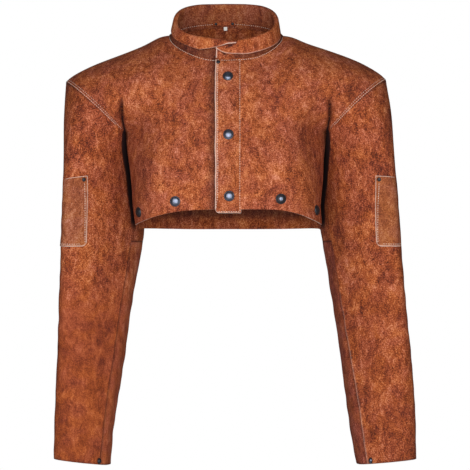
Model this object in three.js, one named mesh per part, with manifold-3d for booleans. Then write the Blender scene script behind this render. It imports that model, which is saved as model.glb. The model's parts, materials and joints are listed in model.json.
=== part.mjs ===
// Leather welding cape: two fronts snapped under a placket, a back, a turned-down collar and long sleeves.
// Millimetres, +Z up, the front faces -Y, +X is the wearer's left.
// The origin is at the neck, on the line of the shoulders, where the cape sits when it is worn.

import * as THREE from 'three';
import { mergeVertices } from 'three/addons/utils/BufferGeometryUtils.js';
import Module from 'manifold-3d';

const wasm = await Module();
wasm.setup();

// Leather and seams
const LEATHER = 2;          // wall of every panel
const HALF = LEATHER / 2;
const GAP = 0.4;            // between pieces that touch
const INNER_GAP = 1;        // between a flat flange and the hollow side of a bent wall
const SEAM = 1.2;           // each panel's edge stays this far from its seam line
const LAYER = 2.6;          // between the middles of two leathers that lie on each other

// Neckline, an oval that drops towards the front
const NECK = { halfWidth: 91, front: 72, back: 68, frontZ: -42, backZ: 19.5, rise: 0.8 };
const NECK_SIDE = THREE.MathUtils.degToRad(95);

// Shoulder seam, from the neck to the tip of the shoulder
const SHOULDER = [
  { x: 140, y: 8, z: -19 },
  { x: 190, y: 10, z: -39 },
  { x: 225, y: 11, z: -55 },
  { x: 246, y: 11, z: -67 },
  { x: 255.5, y: 11, z: -75 },
];

// Middle of the front and of the back, from the neckline to the hem
const CENTRE_FRONT = [
  { y: -72, z: -42 },
  { y: -99, z: -95 },
  { y: -117, z: -175 },
  { y: -122, z: -280 },
];
const CENTRE_BACK = [
  { y: 68, z: 19.5 },
  { y: 97, z: -35 },
  { y: 115, z: -115 },
  { y: 116, z: -215 },
  { y: 110, z: -309 },
];

// Side seam, from the armpit to the hem
const SIDE_SEAM = [
  { x: 162, y: 11, z: -158 },
  { x: 152, y: 10, z: -224 },
  { x: 146, y: 8, z: -280 },
  { x: 143, y: 8, z: -304 },
];

// Hem of the body, an oval that is higher in front than at the sides and back
const HEM = { halfWidth: 143, sideY: 8, frontZ: -279, sideZ: -304, backZ: -309, squareness: 2.3, curl: 3 };

const ARMHOLE_DEPTH = 80;   // the armhole bows this far to the front and to the back of its seam line
const FRONT_LAP = 16;       // each front and collar end runs this far past the middle
const LAP_FADE = { from: 22, to: 64 };
// Roundness of the body from its top edge to the front, small by the neck and full at the shoulder
const SHOULDER_ROUND = { neck: 1.3, tip: 2.5, from: 0.2, to: 0.7 };
const CORNER_REACH = 0.34;  // share of the panel over which the corner of neck and shoulder is smoothed
const TOP_FADE = 9;         // how soon that corner fades below the top edge
// Swell of the chest and the shoulder blades
const FULLNESS = { front: -10, back: 12, across: 0.7, down: 0.5 };

// Folds of a panel: a crease or a swell along a short upright line on it
const FRONT_FOLDS = [
  { x: 168, top: -92, bottom: -190, width: 9, depth: -7 },
  { x: 186, top: -80, bottom: -165, width: 13, depth: 4 },
  { x: 118, top: -170, bottom: -300, width: 26, depth: 2.5 },
];
const FOLD_FADE = { rise: 0.4, fall: 0.6 };           // shares of its height where a fold is full
const FOLD_EDGE = { from: 0.9, to: 0.99 };            // folds fade towards the armhole seam

// Sleeve sections from the armhole to the cuff: outer and inner points seen from the front,
// the middle and half of the depth, and how far the inner side is turned to the back
const SLEEVE_RIGHT = [
  { outerX: 255.5, outerZ: -75, innerX: 165, innerZ: -159, midY: 11, halfDepth: 80, turn: 0 },
  { outerX: 258, outerZ: -135, innerX: 156, innerZ: -199, midY: 14, halfDepth: 78, turn: 27 },
  { outerX: 260, outerZ: -200, innerX: 149, innerZ: -245, midY: 18, halfDepth: 72, turn: 42 },
  { outerX: 262, outerZ: -275, innerX: 141, innerZ: -292, midY: 22, halfDepth: 65, turn: 47 },
  { outerX: 264.5, outerZ: -345, innerX: 136.5, innerZ: -345, midY: 22, halfDepth: 61, turn: 43 },
  { outerX: 267, outerZ: -430, innerX: 152, innerZ: -430, midY: 16, halfDepth: 58, turn: 32 },
  { outerX: 270, outerZ: -520, innerX: 165, innerZ: -520, midY: 9, halfDepth: 54, turn: 23 },
  { outerX: 272.5, outerZ: -605, innerX: 178, innerZ: -607, midY: 1, halfDepth: 50, turn: 16 },
  { outerX: 275, outerZ: -681, innerX: 186, innerZ: -687, midY: -6, halfDepth: 47, turn: 10 },
];
const SLEEVE_LEFT = [
  { outerX: 255.5, outerZ: -75, innerX: 165, innerZ: -159, midY: 11, halfDepth: 80, turn: 0 },
  { outerX: 264, outerZ: -135, innerX: 156, innerZ: -199, midY: 14, halfDepth: 78, turn: 27 },
  { outerX: 270, outerZ: -200, innerX: 150, innerZ: -245, midY: 18, halfDepth: 72, turn: 42 },
  { outerX: 276.5, outerZ: -275, innerX: 150, innerZ: -292, midY: 22, halfDepth: 65, turn: 44 },
  { outerX: 282, outerZ: -345, innerX: 157, innerZ: -345, midY: 22, halfDepth: 61, turn: 38 },
  { outerX: 287, outerZ: -430, innerX: 171, innerZ: -430, midY: 16, halfDepth: 58, turn: 30 },
  { outerX: 295.5, outerZ: -520, innerX: 184.5, innerZ: -520, midY: 9, halfDepth: 54, turn: 22 },
  { outerX: 302, outerZ: -605, innerX: 197, innerZ: -607, midY: 1, halfDepth: 50, turn: 16 },
  { outerX: 304, outerZ: -681, innerX: 208.5, innerZ: -688, midY: -6, halfDepth: 47, turn: 10 },
];
// Degrees round a sleeve from its outer point by the front: the under panel lies between these two seams
const UNDER_SEAMS = { front: 136, back: 240 };
const GUSSET_END = 0.455;   // share of the sleeve's length where the gusset meets the under panel

// Arm patches, as degrees round the sleeve at the top and the bottom of the patch
const ARM_PATCH = { top: -226, bottom: -338, lift: 3.2, rivetGrip: 2.2 };
const ARM_PATCH_RIGHT = { topOuter: 34, topInner: 75, bottomOuter: 10, bottomInner: 66 };
const ARM_PATCH_LEFT = { topOuter: 29, topInner: 66, bottomOuter: 20, bottomInner: 65 };

// Collar: a stand that leans in, most at the sides, a roll, and a fall turned down outside it
const COLLAR = {
  base: 2.2, standFront: 24.3, standBack: 31, lean: 7.5, leanSide: 5.5, leanFade: 6,
  roll: 2.8, fall: 17.2, fallSide: 2.3, flare: 3.5,
};
const COLLAR_NEST = { step: 3, from: 318, to: 344 };  // the right end wraps over the left end
const COLLAR_CUT = { length: 34, least: 0.1 };        // the fall is cut back at both ends
const COLLAR_STEPS = { stand: 3, roll: 3, fall: 2, along: 34 };

// Placket strip on the left front
const PLACKET = { freeX: -17, sewnX: 24, drop: 6, dropFrom: 0.8, top: 0.004 };

// Fasteners: dark snaps and rivets turned on their own axis, heights from the middle of the leather
const SIDES = 8;
const SNAP = {
  radius: 8.2, dome: 4, post: 2.7, bore: 1.9, socket: 5.8, socketDepth: 3,
  flange: 5, flangeDepth: 1, stud: 1.4,
};
const DOME_ROWS = [
  { across: 1, up: 0 },
  { across: 0.97, up: 0.35 },
  { across: 0.6, up: 0.86 },
  { across: 0, up: 1 },
];
const RIVET = { radius: 2.8, dome: 1.4, post: 1.2, flange: 2.4, flangeDepth: 0.8 };
const PLACKET_SNAPS = [
  { x: 3.4, z: -70.8 },
  { x: 4.1, z: -163 },
  { x: 5.3, z: -259.3 },
];
const HEM_SNAPS = [
  { name: 'hem_snap_1', side: -1, x: 134, z: -284 },
  { name: 'hem_snap_2', side: -1, x: 78, z: -267.5 },
  { name: 'hem_snap_3', side: 1, x: 85, z: -263.5 },
  { name: 'hem_snap_4', side: 1, x: 139.5, z: -281 },
];
const CUFF_SNAP = { angle: 130, along: 0.985 };
const PLACKET_RIVET = { x: -12, z: -48 };
const PATCH_RIVET_INSET = { across: 0.88, down: 0.06 };
const HANGER = { width: 36, height: 8, rise: 6, rivetX: 13.5, lift: 3.4, grip: 4.6 };
const NECK_TAB = { width: 5.6, height: 6, rise: -6, lift: 5 };

// Grid lines of the panels
const FRONT_GRID = { neck: 4, shoulder: 8, armhole: 8, side: 5, crowd: 1.8 };
const SHARES = { neck: 0.4, armhole: 0.48 };  // of the top edge and of the outer edge of a body panel
const SLEEVE_GRID = { upperAcross: 16, underAcross: 6, down: 16 };
const PLACKET_GRID = { across: 3, down: 10 };
const PATCH_GRID = { across: 4, down: 6 };
const TOP_INSET = 0.002;      // share of the armhole left free under the shoulder seam
const SLEEVE_START = 0.006;   // share of the sleeve left free at the armhole seam
const PANEL_SPAN = 170;       // about the width of a front, for the seam's share of it
const SLEEVE_SPAN = 400;      // about the way round a sleeve, for the seam's share of it

// Searches on a surface
const NEARBY = 1e-4;          // share of a panel for its directions
const MERGE = 1e-3;
const HALVINGS = 24;
const SEARCH = { reach: 1e-3, rounds: 30, stride: 0.7, least: -0.2, end: 0.999, top: 0.001 };
const LAP_SEARCH = 0.4;       // share of a front on either side of the middle
const SOFT_SAMPLES = 9;
const TANGENT_STEP = 0.01;    // radians along the neckline
const HOLE_REACH = LAYER * 3;

const COLOURS = {
  leather: '#9c4d2c',
  collar: '#a2522f',
  under: '#7f3b25',
  patch: '#a9643b',
  snap: '#2f3440',
  tab: '#eae4da',
};

const cape = new THREE.Group();

const mix = THREE.MathUtils.lerp;
const smooth = (from, to, value) => THREE.MathUtils.smoothstep(value, from, to);
const power = (value, exponent) => Math.sign(value) * Math.abs(value) ** exponent;

function steps(count, from = 0, to = 1) {
  return Array.from({ length: count + 1 }, (_, i) => mix(from, to, i / count));
}

// A smooth line through the rows of a table
function lineThrough(rows) {
  const points = rows.map((row) => new THREE.Vector3(row.x ?? 0, row.y, row.z));
  return new THREE.CatmullRomCurve3(points, false, 'centripetal');
}

// One column of a table as a smooth function of the share of the way down it
function column(rows, name) {
  const curve = new THREE.SplineCurve(rows.map((row, i) => new THREE.Vector2(i, row[name])));
  return (share) => curve.getPoint(share).y;
}

function neckline(angle) {
  const forward = Math.cos(angle);
  const depth = forward > 0 ? NECK.front : NECK.back;
  const height = mix(NECK.frontZ, NECK.backZ, ((1 - forward) / 2) ** NECK.rise);
  return new THREE.Vector3(NECK.halfWidth * Math.sin(angle), -depth * forward, height);
}

const shoulderLine = lineThrough([neckline(NECK_SIDE), ...SHOULDER]);
const sideLine = lineThrough(SIDE_SEAM);
const frontLine = lineThrough(CENTRE_FRONT);
const backLine = lineThrough(CENTRE_BACK);
const shoulderTip = SHOULDER.at(-1);
const armpit = SIDE_SEAM[0];

// Hem at an angle from the middle of the front, 180 degrees at the middle of the back
function hemAt(angle) {
  const forward = Math.cos(angle);
  const middle = forward > 0 ? CENTRE_FRONT.at(-1) : CENTRE_BACK.at(-1);
  const exponent = 2 / HEM.squareness;
  const x = HEM.halfWidth * power(Math.sin(angle), exponent);
  const y = mix(HEM.sideY, middle.y, Math.abs(forward) ** exponent);
  const rise = Math.abs(x / HEM.halfWidth) ** HEM.curl;
  const z = mix(forward > 0 ? HEM.frontZ : HEM.backZ, HEM.sideZ, rise);
  return new THREE.Vector3(x, y, z);
}

// Armhole seam from the shoulder tip (0) to the armpit (1), in front or behind
function armhole(share, facing) {
  const along = (1 - Math.cos(Math.PI * share)) / 2;
  const bow = facing * ARMHOLE_DEPTH * Math.sin(Math.PI * share);
  return new THREE.Vector3(
    mix(shoulderTip.x, armpit.x, along),
    mix(shoulderTip.y, armpit.y, along) + bow,
    mix(shoulderTip.z, armpit.z, along),
  );
}

// Outer edge of a body panel: armhole, then side seam
function outerEdge(v, facing) {
  const share = SHARES.armhole;
  if (v < share) return armhole(v / share, facing);
  return sideLine.getPointAt(Math.min(1, (v - share) / (1 - share)));
}

// An edge line with its corner smoothed away and its ends kept
function softened(edge) {
  return (u) => {
    const reach = Math.min(u, 1 - u, CORNER_REACH);
    const sum = new THREE.Vector3();
    steps(SOFT_SAMPLES - 1, u - reach, u + reach).forEach((at) => sum.add(edge(at)));
    return sum.divideScalar(SOFT_SAMPLES);
  };
}

// A four-sided panel between its top, bottom, inner and outer edges, rounded over the shoulder
function panelBetween({ top, bottom, inner, outer, fullness }) {
  const roundOver = (u, v) => {
    const { neck, tip, from, to } = SHOULDER_ROUND;
    const exponent = mix(neck, tip, smooth(from, to, u));
    return (1 - (1 - v) ** exponent) ** (1 / exponent);
  };
  const soft = softened(top);
  const loft = (u, v) => {
    const upper = soft(u).lerp(top(u), (1 - v) ** TOP_FADE);
    const lower = bottom(u);
    return new THREE.Vector3(
      mix(upper.x, lower.x, v),
      mix(upper.y, lower.y, roundOver(u, v)),
      mix(upper.z, lower.z, v),
    );
  };
  const swell = (u, v) => {
    const across = Math.sin(Math.PI * u ** FULLNESS.across) ** 2;
    return fullness * across * Math.sin(Math.PI * v ** FULLNESS.down);
  };
  return (u, v) => loft(u, v)
    .add(new THREE.Vector3(0, swell(u, v), 0))
    .addScaledVector(inner(v).sub(loft(0, v)), (1 - u ** 2) ** 2)
    .addScaledVector(outer(v).sub(loft(1, v)), u ** 2);
}

function topEdge(u, startAngle, sideAngle) {
  const share = SHARES.neck;
  if (u < share) return neckline(mix(startAngle, sideAngle, u / share));
  return shoulderLine.getPointAt((u - share) / (1 - share));
}

const lapAngle = Math.asin(FRONT_LAP / NECK.halfWidth);
const lapShare = SHARES.neck * lapAngle / NECK_SIDE;

const halfFront = panelBetween({
  top: (u) => topEdge(u, 0, NECK_SIDE),
  bottom: (u) => hemAt(mix(0, Math.PI / 2, u)),
  inner: (v) => frontLine.getPointAt(v),
  outer: (v) => outerEdge(v, -1),
  fullness: FULLNESS.front,
});
const halfBack = panelBetween({
  top: (u) => topEdge(u, Math.PI, NECK_SIDE),
  bottom: (u) => hemAt(mix(Math.PI, Math.PI / 2, u)),
  inner: (v) => backLine.getPointAt(v),
  outer: (v) => outerEdge(v, 1),
  fullness: FULLNESS.back,
});

// A half panel on one side of the body, going on over the middle where u is below 0
function sided(surface, side) {
  return (u, v) => {
    const point = surface(Math.abs(u), v);
    point.x *= side * (u < 0 ? -1 : 1);
    return point;
  };
}

// Unit normal of a surface, outwards where facing has the right sign
function normalAt(surface, u, v, facing) {
  const [cu, cv] = [Math.min(1 - NEARBY, u), THREE.MathUtils.clamp(v, NEARBY, 1 - NEARBY)];
  const across = surface(cu + NEARBY, cv).sub(surface(cu - NEARBY, cv));
  const down = surface(cu, cv + NEARBY).sub(surface(cu, cv - NEARBY));
  return across.cross(down).normalize().multiplyScalar(facing);
}

function lifted(surface, facing, amount) {
  return (u, v) => {
    const point = surface(u, v);
    return point.addScaledVector(normalAt(surface, u, v, facing), amount(point, u));
  };
}

function foldDepth(point, u) {
  const height = (fold) => {
    const rise = smooth(fold.bottom, mix(fold.bottom, fold.top, FOLD_FADE.rise), point.z);
    return rise * (1 - smooth(mix(fold.bottom, fold.top, FOLD_FADE.fall), fold.top, point.z));
  };
  const side = (fold) => Math.exp(-(((Math.abs(point.x) - fold.x) / fold.width) ** 2));
  const depth = FRONT_FOLDS.reduce((sum, fold) => sum + fold.depth * height(fold) * side(fold), 0);
  return depth * (1 - smooth(FOLD_EDGE.from, FOLD_EDGE.to, u));
}

// The right front runs under the left one, so it sinks by one layer near the middle
function underLap(point) {
  return -LAYER * (1 - smooth(LAP_FADE.from, LAP_FADE.to, -point.x));
}

const frontLeft = lifted(sided(halfFront, 1), -1, foldDepth);
const frontRight = lifted(sided(halfFront, -1), 1, (point, u) => foldDepth(point, u) + underLap(point));
const back = (u, v) => sided(halfBack, 1)(u * 2 - 1, v);

// A wall of leather over a grid of a surface, closed round its rim
function leatherWall(surface, facing, us, vs, lift = 0) {
  const corners = [];
  const width = us.length;
  const layerSize = width * vs.length;
  for (const depth of [lift + HALF, lift - HALF]) {
    for (const v of vs) {
      for (const u of us) {
        corners.push(surface(u, v).addScaledVector(normalAt(surface, u, v, facing), depth));
      }
    }
  }
  const index = [];
  const quad = (a, b, c, d) => index.push(a, b, c, a, c, d);
  const at = (i, j, layer) => layer * layerSize + j * width + i;
  for (let j = 0; j < vs.length - 1; j += 1) {
    for (let i = 0; i < width - 1; i += 1) {
      quad(at(i, j, 0), at(i + 1, j, 0), at(i + 1, j + 1, 0), at(i, j + 1, 0));
      quad(at(i, j, 1), at(i, j + 1, 1), at(i + 1, j + 1, 1), at(i + 1, j, 1));
    }
  }
  const rim = [];
  const lastColumn = width - 1;
  const lastRow = vs.length - 1;
  for (let i = 0; i < lastColumn; i += 1) rim.push([i, 0]);
  for (let j = 0; j < lastRow; j += 1) rim.push([lastColumn, j]);
  for (let i = lastColumn; i > 0; i -= 1) rim.push([i, lastRow]);
  for (let j = lastRow; j > 0; j -= 1) rim.push([0, j]);
  rim.forEach(([i, j], k) => {
    const [nextI, nextJ] = rim[(k + 1) % rim.length];
    quad(at(i, j, 1), at(nextI, nextJ, 1), at(nextI, nextJ, 0), at(i, j, 0));
  });
  const geometry = new THREE.BufferGeometry().setFromPoints(corners);
  geometry.setIndex(index);
  return outward(geometry);
}

function volumeOf(geometry) {
  const position = geometry.attributes.position;
  const corner = (k) => new THREE.Vector3().fromBufferAttribute(position, geometry.index.getX(k));
  let total = 0;
  for (let k = 0; k < geometry.index.count; k += 3) {
    total += corner(k).dot(corner(k + 1).cross(corner(k + 2)));
  }
  return total / 6;
}

// Shared vertices merged, empty triangles dropped, faces turned out
function outward(source) {
  const geometry = source.clone();
  geometry.deleteAttribute('normal');
  geometry.deleteAttribute('uv');
  const merged = mergeVertices(geometry, MERGE);
  const kept = [];
  for (let k = 0; k < merged.index.count; k += 3) {
    const corners = [0, 1, 2].map((step) => merged.index.getX(k + step));
    if (new Set(corners).size === 3) kept.push(...corners);
  }
  merged.setIndex(kept);
  if (volumeOf(merged) < 0) merged.setIndex(kept.reverse());
  return merged;
}

function solidOf(geometry) {
  return new wasm.Manifold(new wasm.Mesh({
    numProp: 3,
    vertProperties: new Float32Array(geometry.attributes.position.array),
    triVerts: new Uint32Array(geometry.index.array),
  }));
}

// Cuts the geometries in a list out of a wall
function cutOut(wall, cutters) {
  const solid = cutters.reduce((rest, cutter) => rest.subtract(solidOf(cutter)), solidOf(wall));
  const mesh = solid.getMesh();
  const geometry = new THREE.BufferGeometry();
  geometry.setAttribute('position', new THREE.BufferAttribute(mesh.vertProperties, 3));
  geometry.setIndex(new THREE.BufferAttribute(mesh.triVerts, 1));
  return geometry;
}

// A turned piece on +Z from rows of radius and height
function turned(profile) {
  const points = profile.map(([radius, height]) => new THREE.Vector2(radius, height));
  return outward(new THREE.LatheGeometry(points, SIDES).rotateX(Math.PI / 2));
}

function drum(radius, bottom, top) {
  return turned([[0, bottom], [radius, bottom], [radius, top], [0, top]]);
}

// Where a surface has a given x and z, found by stepping along its own directions
function locate(surface, x, z, start) {
  let { u, v } = start;
  const { reach, rounds, stride, least, end, top } = SEARCH;
  for (let round = 0; round < rounds; round += 1) {
    const here = surface(u, v);
    const byU = surface(u + reach, v).sub(here).divideScalar(reach);
    const byV = surface(u, v + reach).sub(here).divideScalar(reach);
    const [dx, dz] = [x - here.x, z - here.z];
    const scale = byU.x * byV.z - byV.x * byU.z;
    u = THREE.MathUtils.clamp(u + stride * (dx * byV.z - byV.x * dz) / scale, least, end);
    v = THREE.MathUtils.clamp(v + stride * (byU.x * dz - dx * byU.z) / scale, top, end);
  }
  return { u, v };
}

// A place on a surface with +Z outwards
function placeOn(surface, facing, { u, v }) {
  const normal = normalAt(surface, u, v, facing);
  const level = new THREE.Vector3(0, 0, 1).cross(normal).normalize();
  const up = normal.clone().cross(level);
  return new THREE.Matrix4().makeBasis(level, up, normal).setPosition(surface(u, v));
}

function addPart(name, geometry, colour, { roughness = 0.9, metalness = 0, place = null } = {}) {
  const material = new THREE.MeshStandardMaterial({ color: colour, roughness, metalness });
  const mesh = new THREE.Mesh(geometry, material);
  mesh.name = name;
  if (place) place.decompose(mesh.position, mesh.quaternion, mesh.scale);
  cape.add(mesh);
}

function addFastener(name, profile, place) {
  addPart(name, turned(profile), COLOURS.snap, { roughness: 0.35, metalness: 0.9, place });
}

// The hole that a fastener's post goes through
function holeFor(place, radius) {
  return drum(radius + GAP, -HOLE_REACH, HOLE_REACH).applyMatrix4(place);
}

// Rows of a dome of a given radius and height over a seat, from its rim to the axis
function domeRows(radius, height, seat) {
  return DOME_ROWS.map(({ across, up }) => [radius * across, seat + height * up]);
}

// A snap cap riveted through one leather to its socket
function hemSnapProfile() {
  const seat = HALF + GAP;
  const socketTop = -HALF - INNER_GAP;
  const socketFace = socketTop - SNAP.socketDepth;
  return [
    [0, socketTop],
    [SNAP.bore, socketTop],
    [SNAP.bore, socketFace],
    [SNAP.socket, socketFace],
    [SNAP.socket, socketTop],
    [SNAP.post, socketTop],
    [SNAP.post, seat],
    ...domeRows(SNAP.radius, SNAP.dome, seat),
  ];
}

function rivetProfile(outerSeat, innerSeat) {
  return [
    [0, innerSeat - RIVET.flangeDepth],
    [RIVET.flange, innerSeat - RIVET.flangeDepth],
    [RIVET.flange, innerSeat],
    [RIVET.post, innerSeat],
    [RIVET.post, outerSeat],
    ...domeRows(RIVET.radius, RIVET.dome, outerSeat),
  ];
}

// Fronts, placket and their snaps
const frontColumns = [
  -lapShare,
  0,
  ...steps(FRONT_GRID.neck, lapShare, SHARES.neck),
  ...steps(FRONT_GRID.shoulder, SHARES.neck, 1 - SEAM / PANEL_SPAN).slice(1),
];
const bodyRows = [
  ...steps(FRONT_GRID.armhole, TOP_INSET).map((share) => SHARES.armhole * share ** FRONT_GRID.crowd),
  ...steps(FRONT_GRID.side, SHARES.armhole, 1).slice(1),
];

// The placket follows the left front, a layer above it, and hangs a little below its hem
function placketSurface(u, v) {
  const x = mix(PLACKET.freeX, PLACKET.sewnX, u);
  const down = mix(PLACKET.top, 1, v);
  let [low, high] = [-LAP_SEARCH, LAP_SEARCH];
  for (let round = 0; round < HALVINGS; round += 1) {
    const middle = (low + high) / 2;
    if (frontLeft(middle, down).x < x) low = middle;
    else high = middle;
  }
  const point = frontLeft(low, down);
  point.z -= PLACKET.drop * smooth(PLACKET.dropFrom, 1, v);
  return point;
}

function addFronts() {
  const cuts = { left: [], right: [], placket: [] };
  const capSeat = LAYER + HALF + GAP;
  const capProfile = [
    [0, LAYER],
    [SNAP.bore, LAYER],
    [SNAP.bore, -HALF],
    [SNAP.post, -HALF],
    [SNAP.post, capSeat],
    ...domeRows(SNAP.radius, SNAP.dome, capSeat),
  ];
  const studSeat = -LAYER - HALF - GAP;
  const studProfile = [
    [0, studSeat - SNAP.flangeDepth],
    [SNAP.flange, studSeat - SNAP.flangeDepth],
    [SNAP.flange, studSeat],
    [SNAP.stud, studSeat],
    [SNAP.stud, LAYER - GAP],
    [0, LAYER - GAP],
  ];
  PLACKET_SNAPS.forEach(({ x, z }, i) => {
    const place = placeOn(frontLeft, -1, locate(frontLeft, x, z, { u: 0.1, v: 0.5 }));
    addFastener(`snap_cap_${i + 1}`, capProfile, place);
    addFastener(`snap_stud_${i + 1}`, studProfile, place);
    cuts.left.push(holeFor(place, SNAP.post));
    cuts.placket.push(holeFor(place, SNAP.post));
    cuts.right.push(holeFor(place, SNAP.stud));
  });
  for (const { name, side, x, z } of HEM_SNAPS) {
    const [surface, facing] = side > 0 ? [frontLeft, -1] : [frontRight, 1];
    const place = placeOn(surface, facing, locate(surface, side * x, z, { u: 0.8, v: 0.9 }));
    addFastener(name, hemSnapProfile(), place);
    cuts[side > 0 ? 'left' : 'right'].push(holeFor(place, SNAP.post));
  }
  const rivetSpot = locate(frontLeft, PLACKET_RIVET.x, PLACKET_RIVET.z, { u: 0.02, v: 0.03 });
  const rivetPlace = placeOn(frontLeft, -1, rivetSpot);
  addFastener('rivet_placket', rivetProfile(capSeat, -HALF - GAP), rivetPlace);
  cuts.left.push(holeFor(rivetPlace, RIVET.post));
  cuts.placket.push(holeFor(rivetPlace, RIVET.post));
  cuts.right.push(holeFor(rivetPlace, RIVET.flange));

  const left = leatherWall(frontLeft, -1, frontColumns, bodyRows);
  const right = leatherWall(frontRight, 1, frontColumns, bodyRows);
  const placketGrid = [steps(PLACKET_GRID.across), steps(PLACKET_GRID.down)];
  const placket = leatherWall(placketSurface, -1, ...placketGrid, LAYER);
  addPart('front_left', cutOut(left, cuts.left), COLOURS.leather);
  addPart('front_right', cutOut(right, cuts.right), COLOURS.leather);
  addPart('placket', cutOut(placket, cuts.placket), COLOURS.leather);
}

function addBack() {
  const half = frontColumns.filter((u) => u > 0).map((u) => u / 2);
  const columns = [...half.toReversed().map((u) => 0.5 - u), 0.5, ...half.map((u) => 0.5 + u)];
  addPart('back', leatherWall(back, 1, columns, bodyRows), COLOURS.under);
}

// Collar strip, with a hanger and a blank tab inside it.
// Its u runs along the neckline from the left end round the back to the right end,
// v up the stand, over the roll and down the fall
function collarPoint(angle, part, share) {
  const base = neckline(angle);
  const ahead = neckline(angle + TANGENT_STEP).sub(base).setZ(0).normalize();
  const out = new THREE.Vector3(ahead.y, -ahead.x, 0);
  const degrees = THREE.MathUtils.radToDeg(angle);
  const nest = COLLAR_NEST.step * smooth(COLLAR_NEST.from, COLLAR_NEST.to, degrees);
  const sideways = Math.sin(angle);
  const lean = COLLAR.lean + COLLAR.leanSide * sideways ** COLLAR.leanFade;
  const standZ = mix(COLLAR.standFront, COLLAR.standBack, (1 - Math.cos(angle)) / 2);
  const toEnd = NECK.halfWidth * Math.min(angle + lapAngle, 2 * Math.PI + lapAngle - angle);
  const fallShare = mix(COLLAR_CUT.least, 1, smooth(0, COLLAR_CUT.length, toEnd));
  const roll = COLLAR.roll + nest;
  let reach = -lean * share - nest;
  let height = mix(COLLAR.base, standZ, share);
  if (part === 'roll') {
    reach = -lean - nest + roll * (1 - Math.cos(Math.PI * share));
    height = standZ + roll * Math.sin(Math.PI * share);
  }
  if (part === 'fall') {
    reach = -lean - nest + 2 * roll + COLLAR.flare * share * fallShare;
    height = standZ - (COLLAR.fall + COLLAR.fallSide * sideways) * share * fallShare;
  }
  return base.addScaledVector(out, reach).setZ(base.z + height);
}

function addCollar() {
  const order = ['stand', 'roll', 'fall'];
  const surface = (u, v) => {
    const part = order[Math.min(2, Math.floor(v * 3))];
    return collarPoint(mix(-lapAngle, 2 * Math.PI + lapAngle, u), part, v * 3 - order.indexOf(part));
  };
  const rows = order.flatMap((part, i) => steps(COLLAR_STEPS[part], i / 3, (i + 1) / 3).slice(i ? 1 : 0));
  // A small upright sheet on the inside of the collar's back, at a height over the neckline
  const insideNeck = ({ width, height, rise, lift }) => (u, v) => {
    const base = neckline(Math.PI - Math.asin(width * (u - 0.5) / NECK.halfWidth));
    const up = rise - height * (v - 0.5);
    base.y -= lift + Math.max(up, 0) * COLLAR.lean / COLLAR.standBack;
    base.z += up;
    return base;
  };
  const hangerSurface = insideNeck(HANGER);
  const cuts = [];
  [-1, 1].forEach((side, i) => {
    const place = placeOn(hangerSurface, -1, { u: 0.5 + side * HANGER.rivetX / HANGER.width, v: 0.5 });
    addFastener(`rivet_hanger_${i + 1}`, rivetProfile(HALF + GAP, -HANGER.grip), place);
    cuts.push(holeFor(place, RIVET.post));
  });
  const hanger = leatherWall(hangerSurface, -1, steps(3), steps(1));
  addPart('collar', cutOut(leatherWall(surface, 1, steps(COLLAR_STEPS.along), rows), cuts), COLOURS.collar);
  addPart('hanger', cutOut(hanger, cuts), COLOURS.leather);
  addPart('neck_tab', leatherWall(insideNeck(NECK_TAB), -1, steps(1), steps(1)), COLOURS.tab);
}

// Sleeve surface: u once round from the outer point by the front, v from the armhole to the cuff
function sleeveSurface(rows, side) {
  const at = Object.fromEntries(Object.keys(rows[0]).map((name) => [name, column(rows, name)]));
  return (u, v) => {
    const angle = 2 * Math.PI * u;
    const inwards = (1 - Math.cos(angle)) / 2;
    const x = mix(at.outerX(v), at.innerX(v), inwards);
    const y = at.midY(v) - at.halfDepth(v) * Math.sin(angle) + at.turn(v) * (2 * inwards - 1);
    const z = mix(at.outerZ(v), at.innerZ(v), inwards);
    return new THREE.Vector3(side * x, y, z);
  };
}

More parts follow.
